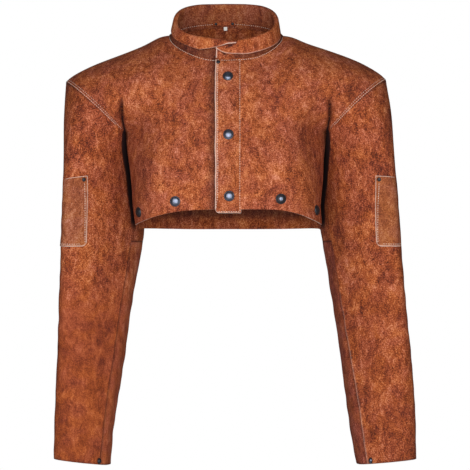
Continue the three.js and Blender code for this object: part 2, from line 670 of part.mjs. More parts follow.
function addSleeve(name, side, rows, patch) {
  const surface = sleeveSurface(rows, side);
  const facing = side;
  const turn = (degrees) => degrees / 360;
  const edge = SEAM / SLEEVE_SPAN;
  const [frontSeam, backSeam] = [turn(UNDER_SEAMS.front), turn(UNDER_SEAMS.back)];
  const underUs = steps(SLEEVE_GRID.underAcross, frontSeam + edge, backSeam - edge);
  const upperUs = steps(SLEEVE_GRID.upperAcross, backSeam - 1 + edge, frontSeam - edge);
  const round = (u, v) => surface((u + 1) % 1, v);
  const downAt = (height, u) => {
    let [low, high] = [0, 1];
    for (let k = 0; k < HALVINGS; k += 1) {
      const middle = (low + high) / 2;
      if (surface(u, middle).z > height) low = middle;
      else high = middle;
    }
    return low;
  };
  const patchSurface = (u, v) => {
    const outer = mix(patch.topOuter, patch.bottomOuter, v);
    const inner = mix(patch.topInner, patch.bottomInner, v);
    const across = turn(mix(outer, inner, u));
    return surface(across, downAt(mix(ARM_PATCH.top, ARM_PATCH.bottom, v), across));
  };
  const rivetSpot = { u: PATCH_RIVET_INSET.across, v: PATCH_RIVET_INSET.down };
  const rivetPlace = placeOn(patchSurface, facing, rivetSpot);
  const rivetHole = holeFor(rivetPlace, RIVET.post);
  const rivet = rivetProfile(ARM_PATCH.lift + HALF + GAP, -HALF - ARM_PATCH.rivetGrip);
  addFastener(`rivet_patch_${name}`, rivet, rivetPlace);
  const snapPlace = placeOn(surface, facing, { u: turn(CUFF_SNAP.angle), v: CUFF_SNAP.along });
  addFastener(`cuff_snap_${name}`, hemSnapProfile(), snapPlace);

  const upper = leatherWall(round, facing, upperUs, steps(SLEEVE_GRID.down, SLEEVE_START, 1));
  const gussetRows = Math.round(SLEEVE_GRID.down * GUSSET_END);
  const underRows = SLEEVE_GRID.down - gussetRows;
  const gusset = leatherWall(surface, facing, underUs, steps(gussetRows, SLEEVE_START, GUSSET_END - edge));
  const under = leatherWall(surface, facing, underUs, steps(underRows, GUSSET_END + edge, 1));
  const patchGrid = [steps(PATCH_GRID.across), steps(PATCH_GRID.down)];
  const patchWall = leatherWall(patchSurface, facing, ...patchGrid, ARM_PATCH.lift);
  const snapHole = holeFor(snapPlace, SNAP.post);
  addPart(`sleeve_${name}_upper`, cutOut(upper, [rivetHole, snapHole]), COLOURS.leather);
  addPart(`sleeve_${name}_under`, cutOut(under, [snapHole]), COLOURS.under);
  addPart(`sleeve_${name}_gusset`, gusset, COLOURS.under);
  addPart(`arm_patch_${name}`, cutOut(patchWall, [rivetHole]), COLOURS.patch);
}

addFronts();
addBack();
addCollar();
addSleeve('right', -1, SLEEVE_RIGHT, ARM_PATCH_RIGHT);
addSleeve('left', 1, SLEEVE_LEFT, ARM_PATCH_LEFT);

export default cape;
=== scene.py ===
# %% [markdown]
# # A leather welding cape, sewn panel by panel
# The cape is a set of flat hides that are sewn into a body and two sleeves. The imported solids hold
# the form. This lesson dresses them: each hide is laid over much the same curved surface as its solid,
# gets its folds, its thickness and its cut edges, and is then stitched and fastened with dark snaps.

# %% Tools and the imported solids
import json
import math

import bmesh
import bpy
import numpy as np
from mathutils import Matrix, Vector, noise

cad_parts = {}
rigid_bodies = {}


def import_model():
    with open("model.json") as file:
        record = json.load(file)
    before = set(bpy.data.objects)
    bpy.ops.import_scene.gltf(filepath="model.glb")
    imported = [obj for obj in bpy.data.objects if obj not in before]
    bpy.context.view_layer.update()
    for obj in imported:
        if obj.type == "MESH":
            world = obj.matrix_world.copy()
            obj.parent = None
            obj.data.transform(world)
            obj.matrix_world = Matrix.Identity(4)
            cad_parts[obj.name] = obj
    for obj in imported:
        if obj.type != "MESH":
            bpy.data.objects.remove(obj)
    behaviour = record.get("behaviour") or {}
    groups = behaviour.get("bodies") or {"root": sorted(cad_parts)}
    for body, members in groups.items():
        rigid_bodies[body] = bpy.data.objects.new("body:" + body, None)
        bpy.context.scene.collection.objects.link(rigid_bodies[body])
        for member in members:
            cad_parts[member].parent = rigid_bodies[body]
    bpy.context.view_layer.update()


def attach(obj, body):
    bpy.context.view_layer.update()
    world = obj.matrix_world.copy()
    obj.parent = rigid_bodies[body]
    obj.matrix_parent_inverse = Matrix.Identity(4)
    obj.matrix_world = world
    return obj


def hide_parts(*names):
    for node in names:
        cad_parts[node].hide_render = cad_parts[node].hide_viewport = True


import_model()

# %% [markdown]
# ## Camera
# The photograph is taken straight from the front, level with the middle of the cape, from far away.
# At the plane through the shoulders one pixel covers 1.6 mm, so the lens follows from the distance
# and the width that the picture covers.

# %% Camera
MM = 0.001
VIEW = {"x": 14.4 * MM, "z": -320 * MM, "distance": 5.0, "width": 752 * MM, "far": 50}
SENSOR = 36.0


def add_camera():
    camera = bpy.data.cameras.new("camera")
    camera.sensor_width = SENSOR
    camera.lens = SENSOR * VIEW["distance"] / VIEW["width"]
    camera.clip_end = VIEW["far"]
    holder = bpy.data.objects.new("camera", camera)
    holder.location = (VIEW["x"], -VIEW["distance"], VIEW["z"])
    holder.rotation_euler = (math.pi / 2, 0, 0)
    bpy.context.scene.collection.objects.link(holder)
    bpy.context.scene.camera = holder
    return camera.lens


print("lens", round(add_camera(), 1), "mm")

# %% [markdown]
# ## Shader maths in Python
# A finish is easier to read as a formula than as a web of nodes. The first class below wraps a node's
# socket, so that `smear * 0.6 + grit` adds the Math nodes by itself. The second one is a material,
# and all its nodes come from one method, which sets a node's own settings before it fills its sockets.


# %% Sockets as values
class Value:
    """A socket that can be added, subtracted and multiplied like a number."""

    def __init__(self, finish, socket):
        self.finish = finish
        self.socket = socket

    def math(self, operation, first, second):
        node = self.finish.node("ShaderNodeMath", {"operation": operation}, {0: first, 1: second})
        return self.finish.value(node, 0)

    def __add__(self, other):
        return self.math("ADD", self, other)

    def __radd__(self, other):
        return self.math("ADD", other, self)

    def __sub__(self, other):
        return self.math("SUBTRACT", self, other)

    def __rsub__(self, other):
        return self.math("SUBTRACT", other, self)

    def __mul__(self, other):
        return self.math("MULTIPLY", self, other)

    def __rmul__(self, other):
        return self.math("MULTIPLY", other, self)


class Finish:
    """A material that is put together from nodes."""

    def __init__(self, name):
        self.material = bpy.data.materials.new(name)
        self.material.use_nodes = True
        self.tree = self.material.node_tree
        self.shader = self.tree.nodes["Principled BSDF"]

    def value(self, node, output):
        return Value(self, node.outputs[output])

    def node(self, kind, settings, inputs):
        node = self.tree.nodes.new(kind)
        for name, setting in settings.items():
            if name == "stops":
                self.set_stops(node.color_ramp.elements, setting)
            else:
                setattr(node, name, setting)
        for name, content in inputs.items():
            self.fill(node.inputs[name], content)
        return node

    def fill(self, socket, content):
        """Links a value to a socket, or sets a plain number or colour on it."""
        if isinstance(content, Value):
            self.tree.links.new(content.socket, socket)
        else:
            socket.default_value = content

    def set_stops(self, elements, stops):
        while len(elements) < len(stops):
            elements.new(1.0)
        for element, (place, colour) in zip(elements, stops):
            element.position = place
            element.color = (*colour, 1)

    def place(self, stretch=(1, 1, 1)):
        """Object coordinates, stretched where a pattern has a direction."""
        coords = self.value(self.node("ShaderNodeTexCoord", {}, {}), "Object")
        node = self.node("ShaderNodeMapping", {}, {"Vector": coords, "Scale": stretch})
        return self.value(node, "Vector")

    def noise(self, place, scale, detail, roughness, distortion=0.0):
        node = self.node("ShaderNodeTexNoise", {}, {
            "Vector": place, "Scale": scale, "Detail": detail,
            "Roughness": roughness, "Distortion": distortion,
        })
        return self.value(node, 0)

    def ramp(self, amount, stops):
        return self.value(self.node("ShaderNodeValToRGB", {"stops": stops}, {0: amount}), 0)

    def blend(self, share, first, second, mode="MIX"):
        """Two colours mixed by a share."""
        settings = {"data_type": "RGBA", "blend_type": mode, "clamp_factor": True}
        node = self.node("ShaderNodeMix", settings, {"Factor": share, 6: first, 7: second})
        return self.value(node, 2)

    def attribute(self, name):
        return self.value(self.node("ShaderNodeAttribute", {"attribute_name": name}, {}), "Fac")

    def bump(self, height, distance, strength):
        node = self.node("ShaderNodeBump", {}, {
            "Height": height, "Distance": distance, "Strength": strength,
        })
        return self.value(node, 0)

    def shade(self, **inputs):
        """Fills the main shader's sockets, with _ for the blanks in their names."""
        for name, content in inputs.items():
            self.fill(self.shader.inputs[name.replace("_", " ")], content)
        return self.material


print("shader helper ready")

# %% [markdown]
# ## Suede
# Split cowhide has no smooth grain side. Its nap catches the light in blotches, in streaks and smears
# where it was brushed, and in a fine grit. The four are noises of different sizes on one scale from
# dark to light, and a ramp turns that scale into rust browns. A slower drift shifts the hue. Smears
# and grit also lift a fine bump. Attributes mark places on a hide: two of them are painted shade, one
# on its outer face and `inner` on its inner face, for creases, seams, laps, overlaps and parts that
# lie close together; `core` is pale where a cut shows, and `soft` is where the nap is rubbed smooth.

# %% Suede finish
SUEDE_STOPS = [
    (0.12, (0.070, 0.017, 0.010)),
    (0.36, (0.200, 0.042, 0.015)),
    (0.52, (0.335, 0.080, 0.026)),
    (0.68, (0.480, 0.140, 0.052)),
    (0.90, (0.660, 0.290, 0.160)),
]
BLOTCH = {"scale": 26.0, "detail": 3.0, "roughness": 0.55, "distortion": 0.6}
STREAK = {"scale": 64.0, "detail": 3.0, "roughness": 0.6, "distortion": 1.4}
SMEAR = {"scale": 105.0, "detail": 4.0, "roughness": 0.6, "distortion": 1.0}
GRIT = {"scale": 560.0, "detail": 2.0, "roughness": 0.8}
SMEAR_STRETCH = (1.0, 1.0, 0.6)
STREAK_STRETCH = (1.0, 1.0, 0.4)
DRIFT = {"scale": 34.0, "detail": 2.0, "roughness": 0.5, "distortion": 0.4}
DRIFT_STOPS = [(0.36, (0.95, 0.92, 1.10)), (0.64, (1.04, 1.03, 0.82))]
NOISE_MEAN = 0.5
SPREADS = {"blotch": 0.5, "streak": 0.55, "smear": 0.8, "grit": 1.75}
SCALE_MIDDLE = 0.52
# Painted shade: the dark colour that a mark of shade blends in, and the share it reaches.
PAINTED_SHADE_TINT = (0.020, 0.007, 0.008, 1)
PAINTED_SHADE_SHARE = 0.8
CORE_TINT = (0.82, 0.57, 0.47, 1)
SOFT_CALM = 0.6
NAP = {"smear": 0.6, "grit": 0.4, "distance": 0.9 * MM, "strength": 0.55}
SUEDE_ROUGH = {"least": 0.86, "grit": 0.12}
SUEDE_SHINE = 0.22


def suede(name, shift, tint, contrast=1.0, dark="worn"):
    """Rust-brown split leather. Shift moves it lighter or darker, tint multiplies its colour; dark names
    its mark of painted shade.
    """
    finish = Finish(name)
    blotch = finish.noise(finish.place(), **BLOTCH)
    smear = finish.noise(finish.place(SMEAR_STRETCH), **SMEAR)
    grit = finish.noise(finish.place(), **GRIT)
    streak = finish.noise(finish.place(STREAK_STRETCH), **STREAK)
    spread = (blotch - NOISE_MEAN) * SPREADS["blotch"] + (smear - NOISE_MEAN) * SPREADS["smear"]
    spread = spread + (streak - NOISE_MEAN) * SPREADS["streak"]
    soft = finish.attribute("soft")
    grain = (grit - NOISE_MEAN) * (SPREADS["grit"] * (1 - soft))
    spread = spread * (1 - soft * SOFT_CALM) + grain
    colour = finish.ramp(spread * contrast + (SCALE_MIDDLE + shift), SUEDE_STOPS)
    drift = finish.noise(finish.place(), **DRIFT)
    colour = finish.blend(1.0, colour, finish.ramp(drift, DRIFT_STOPS), "MULTIPLY")
    colour = finish.blend(1.0, colour, (*tint, 1), "MULTIPLY")
    # Painted shade from the mark named by dark.
    colour = finish.blend(finish.attribute(dark) * PAINTED_SHADE_SHARE, colour, PAINTED_SHADE_TINT)
    colour = finish.blend(finish.attribute("core"), colour, CORE_TINT)
    height = smear * NAP["smear"] + grit * NAP["grit"]
    return finish.shade(
        Base_Color=colour,
        Roughness=SUEDE_ROUGH["least"] + grit * SUEDE_ROUGH["grit"],
        Normal=finish.bump(height, NAP["distance"], NAP["strength"]),
        Specular_IOR_Level=SUEDE_SHINE,
    )


# Each suede blends in painted shade from one mark; the collar's second face and the inside of the back
# read it from `inner`.
LEATHER = suede("suede", -0.01, (1, 0.94, 0.98))
PLACKET_LEATHER = suede("suede_placket", 0.02, (1, 0.98, 1.0))
COLLAR_LEATHER = suede("suede_collar", 0.05, (1, 0.89, 0.81), dark="inner")
STAND_LEATHER = suede("suede_stand", 0.02, (1, 0.90, 0.95))
INSIDE_LEATHER = suede("suede_inside", 0.0, (1, 0.93, 0.86), dark="inner")
SLEEVE_LEATHER = suede("suede_sleeve", -0.04, (1, 0.91, 0.86), contrast=1.1)
INNER_LEATHER = suede("suede_inner", -0.1, (0.92, 0.86, 0.86))
# Painted light and shade on the under panels: a lighter copy for the right sleeve's, which turns away from
# the light, and a darker plum copy for the left one's, which lies in shade.
BRIGHTENED_UNDER_SUEDE = suede("suede_under_brightened", 0.05, (1, 0.92, 1.0))
SHADED_PLUM_LEATHER = suede("suede_plum_shaded", -0.04, (0.88, 0.84, 1.15), contrast=0.8)
PATCH_LEATHER = suede("suede_patch", 0.03, (0.87, 1.0, 1.12), contrast=0.7)
print("suedes", [m.name for m in bpy.data.materials])

# %% [markdown]
# ## Cut edges, thread, metal and tape
# Where the hide is cut, the pale core of the leather shows. The thread is a cream cotton with a
# slight twist. The snaps are blackened steel, smooth enough to mirror the room, and the small tab
# in the neck is a woven tape. Each has one fine grain, which runs from a low to a high colour.


# %% Small finishes
def grained(name, grain, low, high, rough, rub=0.0, bump=None, stretch=(1, 1, 1), **sockets):
    """A finish with one grain. Low and high are stops of its ramp, and rub adds to its roughness."""
    finish = Finish(name)
    pattern = finish.noise(finish.place(stretch), **grain)
    if bump:
        sockets["Normal"] = finish.bump(pattern, **bump)
    roughness = rough + pattern * rub if rub else rough
    return finish.shade(Base_Color=finish.ramp(pattern, [low, high]), Roughness=roughness, **sockets)


CUT_EDGE = grained(
    "cut_edge", {"scale": 600.0, "detail": 3.0, "roughness": 0.6},
    low=(0.3, (0.42, 0.21, 0.14)), high=(0.6, (0.82, 0.60, 0.50)),
    rough=0.9, bump={"distance": 0.3 * MM, "strength": 0.4},
)
THREAD = grained(
    "thread", {"scale": 900.0, "detail": 2.0, "roughness": 0.5},
    low=(0.25, (0.55, 0.36, 0.27)), high=(0.6, (0.82, 0.68, 0.58)),
    rough=0.75, Specular_IOR_Level=0.3,
)
SNAP_BLACK = grained(
    "snap_black", {"scale": 350.0, "detail": 3.0, "roughness": 0.6},
    low=(0.3, (0.11, 0.125, 0.17)), high=(0.75, (0.19, 0.21, 0.275)),
    rough=0.26, rub=0.12, Metallic=1.0,
)
# A dark metal: the real finish of the rivets, and painted shade where it covers a snap cap beyond its
# bright radius.
RIVET_METAL_AND_SNAP_SHADE = grained(
    "rivet_metal_and_snap_shade", {"scale": 700.0, "detail": 3.0, "roughness": 0.6},
    low=(0.3, (0.012, 0.011, 0.014)), high=(0.8, (0.06, 0.06, 0.07)),
    rough=0.3, rub=0.3, Metallic=0.6,
)
TAPE = grained(
    "tape", {"scale": 1400.0, "detail": 2.0, "roughness": 0.5},
    low=(0.3, (0.72, 0.68, 0.62)), high=(0.7, (0.95, 0.93, 0.9)),
    rough=0.8, bump={"distance": 0.2 * MM, "strength": 0.5}, stretch=(1, 1, 3),
)
print("small finishes", [m.name for m in (CUT_EDGE, THREAD, SNAP_BLACK, RIVET_METAL_AND_SNAP_SHADE, TAPE)])

# %% [markdown]
# ## The surfaces of the body
# A tailor thinks in seam lines: neckline, shoulder, armhole, side seam and hem. Each panel is
# stretched between its seam lines, in millimetres, in the same way as its solid. NumPy works out
# all points of a panel at once, so u and v below are whole arrays.

# %% Seam lines
NECK = {"half_width": 91, "front": 72, "back": 68, "front_z": -42, "back_z": 19.5, "rise": 0.8}
NECK_SIDE = math.radians(95)
SHOULDER = [(140, 8, -19), (190, 10, -39), (225, 11, -55), (246, 11, -67), (255.5, 11, -75)]
CENTRE_FRONT = [(0, -72, -42), (0, -99, -95), (0, -117, -175), (0, -122, -280)]
CENTRE_BACK = [(0, 68, 19.5), (0, 97, -35), (0, 115, -115), (0, 116, -215), (0, 110, -309)]
SIDE_SEAM = [(162, 11, -158), (152, 10, -224), (146, 8, -280), (143, 8, -304)]
HEM = {"half_width": 143, "side_y": 8, "front_z": -279, "side_z": -304, "back_z": -309,
       "spread": 2.3, "square": 2.3, "front_square": 4, "back_square": 1.85, "square_by": 0.85,
       "curl": 3}
ARMHOLE_DEPTH = 80
ARMHOLE_BOW = (-3.5, 4)
SHOULDER_ROUND = {"neck": 1.3, "tip": 2.5, "start": 0.2, "end": 0.7}
CORNER_REACH = 0.34
TOP_FADE = 9
FULLNESS = {"front": -10, "back": 12, "across": 0.7, "down": 0.5}
NECK_SHARE = 0.4
ARMHOLE_SHARE = 0.48
LINE_SAMPLES = 300
LEAST_LENGTH = 1e-9


def mix(first, second, share):
    return first + (second - first) * share


def smooth(low, high, value):
    share = np.clip((value - low) / (high - low), 0, 1)
    return share * share * (3 - 2 * share)


def stack(x, y, z):
    return np.stack(np.broadcast_arrays(x, y, z), axis=-1).astype(float)


def smooth_line(points):
    """A curve through the points, as a function of the share of its length. It is a centripetal
    spline, whose knots are as far apart as the square roots of the gaps between the points."""
    knots = np.array(points, float)
    knots = np.vstack([2 * knots[0] - knots[1], knots, 2 * knots[-1] - knots[-2]])
    share = np.linspace(0, 1, LINE_SAMPLES)[:, None]
    runs = []
    for before, start, end, after in zip(knots, knots[1:], knots[2:], knots[3:]):
        gaps = [np.linalg.norm(b - a) ** 0.5 for a, b in ((before, start), (start, end), (end, after))]
        leave = (start - before) / gaps[0] - (end - before) / (gaps[0] + gaps[1]) + (end - start) / gaps[1]
        reach = (end - start) / gaps[1] - (after - start) / (gaps[1] + gaps[2]) + (after - end) / gaps[2]
        leave, reach = leave * gaps[1], reach * gaps[1]
        bend = 3 * (end - start) - 2 * leave - reach
        twist = 2 * (start - end) + leave + reach
        runs.append(start + leave * share + bend * share**2 + twist * share**3)
    line = np.vstack(runs)
    length = np.concatenate([[0], np.cumsum(np.linalg.norm(np.diff(line, axis=0), axis=1))])
    return lambda at: stack(*(np.interp(at, length / length[-1], line[:, i]) for i in range(3)))


def neckline(angle):
    forward = np.cos(angle)
    depth = np.where(forward > 0, NECK["front"], NECK["back"])
    height = mix(NECK["front_z"], NECK["back_z"], ((1 - forward) / 2) ** NECK["rise"])
    return stack(NECK["half_width"] * np.sin(angle), -depth * forward, height)


def hem_at(angle, power):
    """Points of the hem. A higher power gives it a squarer corner at the side."""
    forward = np.cos(angle)
    across = np.abs(np.sin(angle)) ** (2 / HEM["spread"])
    middle = np.where(forward > 0, CENTRE_FRONT[-1][1], CENTRE_BACK[-1][1])
    y = mix(HEM["side_y"], middle, np.maximum(0, 1 - across**power) ** (1 / power))
    level = np.where(forward > 0, HEM["front_z"], HEM["back_z"])
    return stack(HEM["half_width"] * across, y, mix(level, HEM["side_z"], across ** HEM["curl"]))


def armhole(share, facing):
    along = ((1 - np.cos(np.pi * share)) / 2)[..., None]
    line = mix(np.array(SHOULDER[-1], float), np.array(SIDE_SEAM[0], float), along)
    bow = np.sin(np.pi * share)
    inwards, up = ARMHOLE_BOW if facing < 0 else (0, 0)
    return line + stack(inwards * bow, facing * ARMHOLE_DEPTH * bow, up * bow)


shoulder_line = smooth_line([tuple(neckline(np.array(NECK_SIDE))), *SHOULDER])
side_line = smooth_line(SIDE_SEAM)
front_line = smooth_line(CENTRE_FRONT)
back_line = smooth_line(CENTRE_BACK)
print("shoulder middle", shoulder_line(np.array(0.5)).round(1))

# %% [markdown]
# ## Panels between the seam lines
# `half_panel` blends the four lines into one surface. The y of a point follows a rounded profile
# from the shoulder down, which gives the cape its chest, and the corner where neck and shoulder
# meet is smoothed away just below the top edge. The worn cape sits a little askew, and the short
# tables hold those shifts: for the shoulders and the neck a middle, a width and a height, for the
# hem a low and a high end and a width.

# %% Half panels
SOFT_SAMPLES = 9
SHOULDER_SET = [(-155, 45, -3), (-104, 20, 5), (104, 20, 4), (215, 60, 5)]
SET_FADE = (-200, -70)
NECK_SAG = [(50, 26, 4), (-48, 22, 1.6)]
SAG_FADE = (-90, -45)
HEM_SET = [(-235, -190, 3), (-306, -270, 5)]
HEM_SPAN = (60, 140)
HEM_LIFT = {"x": 95, "width": 40, "low": -290, "high": -230, "lift": 4}


def outer_edge(v, facing):
    below = side_line(np.clip((v - ARMHOLE_SHARE) / (1 - ARMHOLE_SHARE), 0, 1))
    above = armhole(np.clip(v / ARMHOLE_SHARE, 0, 1), facing)
    return np.where((v < ARMHOLE_SHARE)[..., None], above, below)


def top_edge(u, start):
    neck = neckline(mix(start, NECK_SIDE, np.clip(u / NECK_SHARE, 0, 1)))
    shoulder = shoulder_line(np.clip((u - NECK_SHARE) / (1 - NECK_SHARE), 0, 1))
    return np.where((u < NECK_SHARE)[..., None], neck, shoulder)


def half_panel(u, v, front):
    """Half of the front or of the back, from its middle (u 0) to its outer edge (u 1)."""
    start = 0.0 if front else math.pi
    facing = -1 if front else 1
    middle = front_line if front else back_line
    reach = np.minimum(np.minimum(u, 1 - u), CORNER_REACH)
    soft = sum(top_edge(u + reach * k, start) for k in np.linspace(-1, 1, SOFT_SAMPLES)) / SOFT_SAMPLES
    power = mix(SHOULDER_ROUND["neck"], SHOULDER_ROUND["tip"],
                smooth(SHOULDER_ROUND["start"], SHOULDER_ROUND["end"], u))
    low_square = HEM["front_square"] if front else HEM["back_square"]
    square = mix(HEM["square"], low_square, smooth(ARMHOLE_SHARE, HEM["square_by"], v))

    def loft(at, soft_top, over):
        upper = mix(soft_top, top_edge(at, start), ((1 - v) ** TOP_FADE)[..., None])
        lower = hem_at(mix(start, math.pi / 2, at), square)
        down = stack(v, (1 - (1 - v) ** over) ** (1 / over), v)
        return upper + (lower - upper) * down

    zero, one = np.zeros_like(u), np.ones_like(u)
    inner_gap = middle(v) - loft(zero, top_edge(zero, start), SHOULDER_ROUND["neck"])
    outer_gap = outer_edge(v, facing) - loft(one, top_edge(one, start), SHOULDER_ROUND["tip"])
    full = FULLNESS["front"] if front else FULLNESS["back"]
    swell = full * np.sin(np.pi * u ** FULLNESS["across"]) ** 2 * np.sin(np.pi * v ** FULLNESS["down"])
    point = loft(u, soft, power) + stack(0, swell, 0)
    point += inner_gap * ((1 - u**2) ** 2)[..., None]
    return point + outer_gap * (u**2)[..., None]


def settled(point):
    """The cape sits a little askew: parts of its shoulders are higher or lower than the pattern."""
    x, z = point[..., 0], point[..., 2]
    rise = sum(lift * np.exp(-(((x - middle) / width) ** 2)) for middle, width, lift in SHOULDER_SET)
    return point + stack(0, 0, rise * smooth(*SET_FADE, z))


def hem_shift(z):
    """How far the left side seam has moved outwards at a height."""
    return sum(outwards * (1 - smooth(low, high, z)) for low, high, outwards in HEM_SET)


def sided(u, v, front, side):
    """A half panel on its own side of the body, with the shifts of the hem, neck and shoulders."""
    point = half_panel(np.abs(u), v, front)
    point[..., 0] *= side * np.where(u < 0, -1, 1)
    x, z = point[..., 0], point[..., 2]
    lift = 0
    if front:
        low = 1 - smooth(HEM_LIFT["low"], HEM_LIFT["high"], z)
        lift = HEM_LIFT["lift"] * low * np.exp(-(((x - HEM_LIFT["x"]) / HEM_LIFT["width"]) ** 2))
        sag = sum(depth * np.exp(-(((x - middle) / width) ** 2)) for middle, width, depth in NECK_SAG)
        lift = lift - sag * smooth(*SAG_FADE, z)
    return settled(point + stack(hem_shift(z) * smooth(*HEM_SPAN, x), 0, lift))


def normals_of(points, facing):
    """Unit normals of a grid of points, rows down and columns across."""
    across = np.gradient(points, axis=1)
    down = np.gradient(points, axis=0)
    normal = np.cross(across, down) * facing
    return normal / np.maximum(np.linalg.norm(normal, axis=-1, keepdims=True), LEAST_LENGTH)


print("chest middle", half_panel(np.array([[0.5]]), np.array([[0.5]]), True).round(1))

# %% [markdown]
# ## Skins
# A skin is one hide laid on its surface: a grid of points with their outward normals. Folds push
# the points along the normals. Stitches and snaps later ask the skin where it is, so they follow
# every fold. `distance` measures how far each point is from a chosen edge, to keep the folds out
# of the seams and to darken the leather beside them.

# %% Skin class
INSET_SAMPLES = 400
FIND_ROUNDS = 3
FIND_STEPS = 9


class Skin:
    """A grid of points in millimetres over u (across) and v (down)."""

    def __init__(self, us, vs, surface, facing):
        self.us = np.asarray(us, float)
        self.vs = np.asarray(vs, float)
        self.facing = facing
        grid_u, grid_v = np.meshgrid(self.us, self.vs)
        self.set_points(surface(grid_u, grid_v))

    def set_points(self, points):
        self.points = points
        self.normals = normals_of(points, self.facing)

    def push(self, amount):
        self.set_points(self.points + self.normals * np.asarray(amount)[..., None])
        return self

    def ways(self):
        """Way over the skin from each point to each of the four edges."""
        across = np.linalg.norm(np.diff(self.points, axis=1), axis=-1)
        down = np.linalg.norm(np.diff(self.points, axis=0), axis=-1)
        across = np.pad(np.cumsum(across, axis=1), ((0, 0), (1, 0)))
        down = np.pad(np.cumsum(down, axis=0), ((1, 0), (0, 0)))
        return {
            "left": across, "right": across[:, -1:] - across,
            "top": down, "bottom": down[-1:] - down,
        }

    def distance(self, edges):
        """Way to the nearest of the named edges."""
        ways = self.ways()
        return np.min([ways[name] for name in edges], axis=0)

    def inset(self, edge, depth, span=(0.0, 1.0)):
        """u and v of a line along an edge, a given way in from it, over a span of that edge."""
        way = self.ways()[edge]
        share = np.linspace(*span, INSET_SAMPLES)
        turn = -1 if edge in ("right", "bottom") else 1
        if edge in ("top", "bottom"):
            u = mix(self.us[0], self.us[-1], share)
            down = [np.interp(depth, column[::turn], self.vs[::turn]) for column in way.T]
            return u, np.interp(u, self.us, down)
        v = mix(self.vs[0], self.vs[-1], share)
        across = [np.interp(depth, row[::turn], self.us[::turn]) for row in way]
        return np.interp(v, self.vs, across), v

    def at(self, u, v):
        """Points and normals at any u and v, between the grid's own."""
        u, v = np.broadcast_arrays(np.asarray(u, float), np.asarray(v, float))
        i = np.clip(np.searchsorted(self.us, u) - 1, 0, len(self.us) - 2)
        j = np.clip(np.searchsorted(self.vs, v) - 1, 0, len(self.vs) - 2)
        a = ((u - self.us[i]) / (self.us[i + 1] - self.us[i]))[..., None]
        b = ((v - self.vs[j]) / (self.vs[j + 1] - self.vs[j]))[..., None]

        def between(field):
            upper = mix(field[j, i], field[j, i + 1], a)
            lower = mix(field[j + 1, i], field[j + 1, i + 1], a)
            return mix(upper, lower, b)

        normal = between(self.normals)
        return between(self.points), normal / np.linalg.norm(normal, axis=-1, keepdims=True)

    def find(self, x, z):
        """The u and v of the spot that is nearest to an x and z seen from the front."""
        us, vs = self.us, self.vs
        for _ in range(FIND_ROUNDS):
            points = self.at(*np.meshgrid(us, vs))[0]
            gap = (points[..., 0] - x) ** 2 + (points[..., 2] - z) ** 2
            j, i = np.unravel_index(np.argmin(gap), gap.shape)
            spot = us[i], vs[j]
            us = np.linspace(us[max(i - 1, 0)], us[min(i + 1, len(us) - 1)], FIND_STEPS)
            vs = np.linspace(vs[max(j - 1, 0)], vs[min(j + 1, len(vs) - 1)], FIND_STEPS)
        return spot


def ripple(points, size, seed):
    """A soft noise from -1 to 1 at each point, with waves about as wide as size."""
    flat = points.reshape(-1, 3) / size + seed
    values = [noise.noise(Vector(p)) for p in flat]
    return np.array(values).reshape(points.shape[:-1])


print("skins ready")

# %% [markdown]
# ## From a skin to a hide
# Blender's grid operator gives the faces, and each of its points is moved to the skin's. A
# Solidify modifier gives the thickness of the leather, with the cut edge as its own finish, and a
# small Bevel rounds the cut.

# %% Hide maker
THICK = 1.9
EDGE_ROUND = 0.5
PALE_ROUND = 0.9
ROUND_SEGMENTS = 2
ROUND_FROM = math.radians(55)
PIECES = []


def finish_piece(mesh_object, nodes=()):
    """Ties a piece to the body and to the solids it stands for."""
    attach(mesh_object, "root")
    if nodes:
        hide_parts(*nodes)
    PIECES.append(mesh_object)
    return mesh_object


def object_from(name, bm, materials):
    mesh = bpy.data.meshes.new(name)
    bm.to_mesh(mesh)
    bm.free()
    for material in materials:
        mesh.materials.append(material)
    mesh.polygons.foreach_set("use_smooth", [True] * len(mesh.polygons))
    holder = bpy.data.objects.new(name, mesh)
    bpy.context.scene.collection.objects.link(holder)
    return holder


def hide(name, skin, leather, thick=THICK, edge=None, inside=None, pale=False, **marks):
    """A piece of leather of even thickness around a skin. A pale one shows its core all round.
    Marks are arrays over the skin's points, each for an attribute of its name."""
    rows, columns = skin.points.shape[:2]
    bm = bmesh.new()
    bmesh.ops.create_grid(bm, x_segments=columns - 1, y_segments=rows - 1, size=1)
    spots = np.array([v.co for v in bm.verts])
    i = np.rint((spots[:, 0] + 1) / 2 * (columns - 1)).astype(int)
    j = np.rint((1 - spots[:, 1]) / 2 * (rows - 1)).astype(int)
    for vert, place in zip(bm.verts, skin.points[j, i] * MM):
        vert.co = place
    bm.normal_update()
    agreement = np.sum(np.array([v.normal for v in bm.verts]) * skin.normals[j, i])
    if agreement < 0:
        bmesh.ops.reverse_faces(bm, faces=bm.faces[:])
    piece = object_from(name, bm, [leather, edge or CUT_EDGE, inside or leather])
    for mark, values in marks.items():
        layer = piece.data.attributes.new(mark, "FLOAT", "POINT")
        layer.data.foreach_set("value", values[j, i].astype(np.float32))
    wall = piece.modifiers.new("thickness", "SOLIDIFY")
    wall.thickness = thick * MM
    wall.offset = 0
    wall.material_offset_rim = 1
    wall.material_offset = 2
    rounding = piece.modifiers.new("cut", "BEVEL")
    rounding.width = (PALE_ROUND if pale else EDGE_ROUND) * MM
    rounding.segments = ROUND_SEGMENTS
    rounding.material = 1 if pale else -1
    rounding.limit_method = "ANGLE"
    rounding.angle_limit = ROUND_FROM
    return piece


def half_area(piece):
    """Area of one side of a hide, in square metres."""
    return sum(face.area for face in piece.data.polygons)


print("hide maker ready")

# %% [markdown]
# ## Skins of the body
# The two fronts lap over each other in the middle, and the right one lies underneath. Both have a
# sharp crease that runs up from the armpit, where the sleeve pulls the chest inwards, and slow
# waves all over, as thick leather never hangs quite flat. Each wave has a height, a size and a seed.

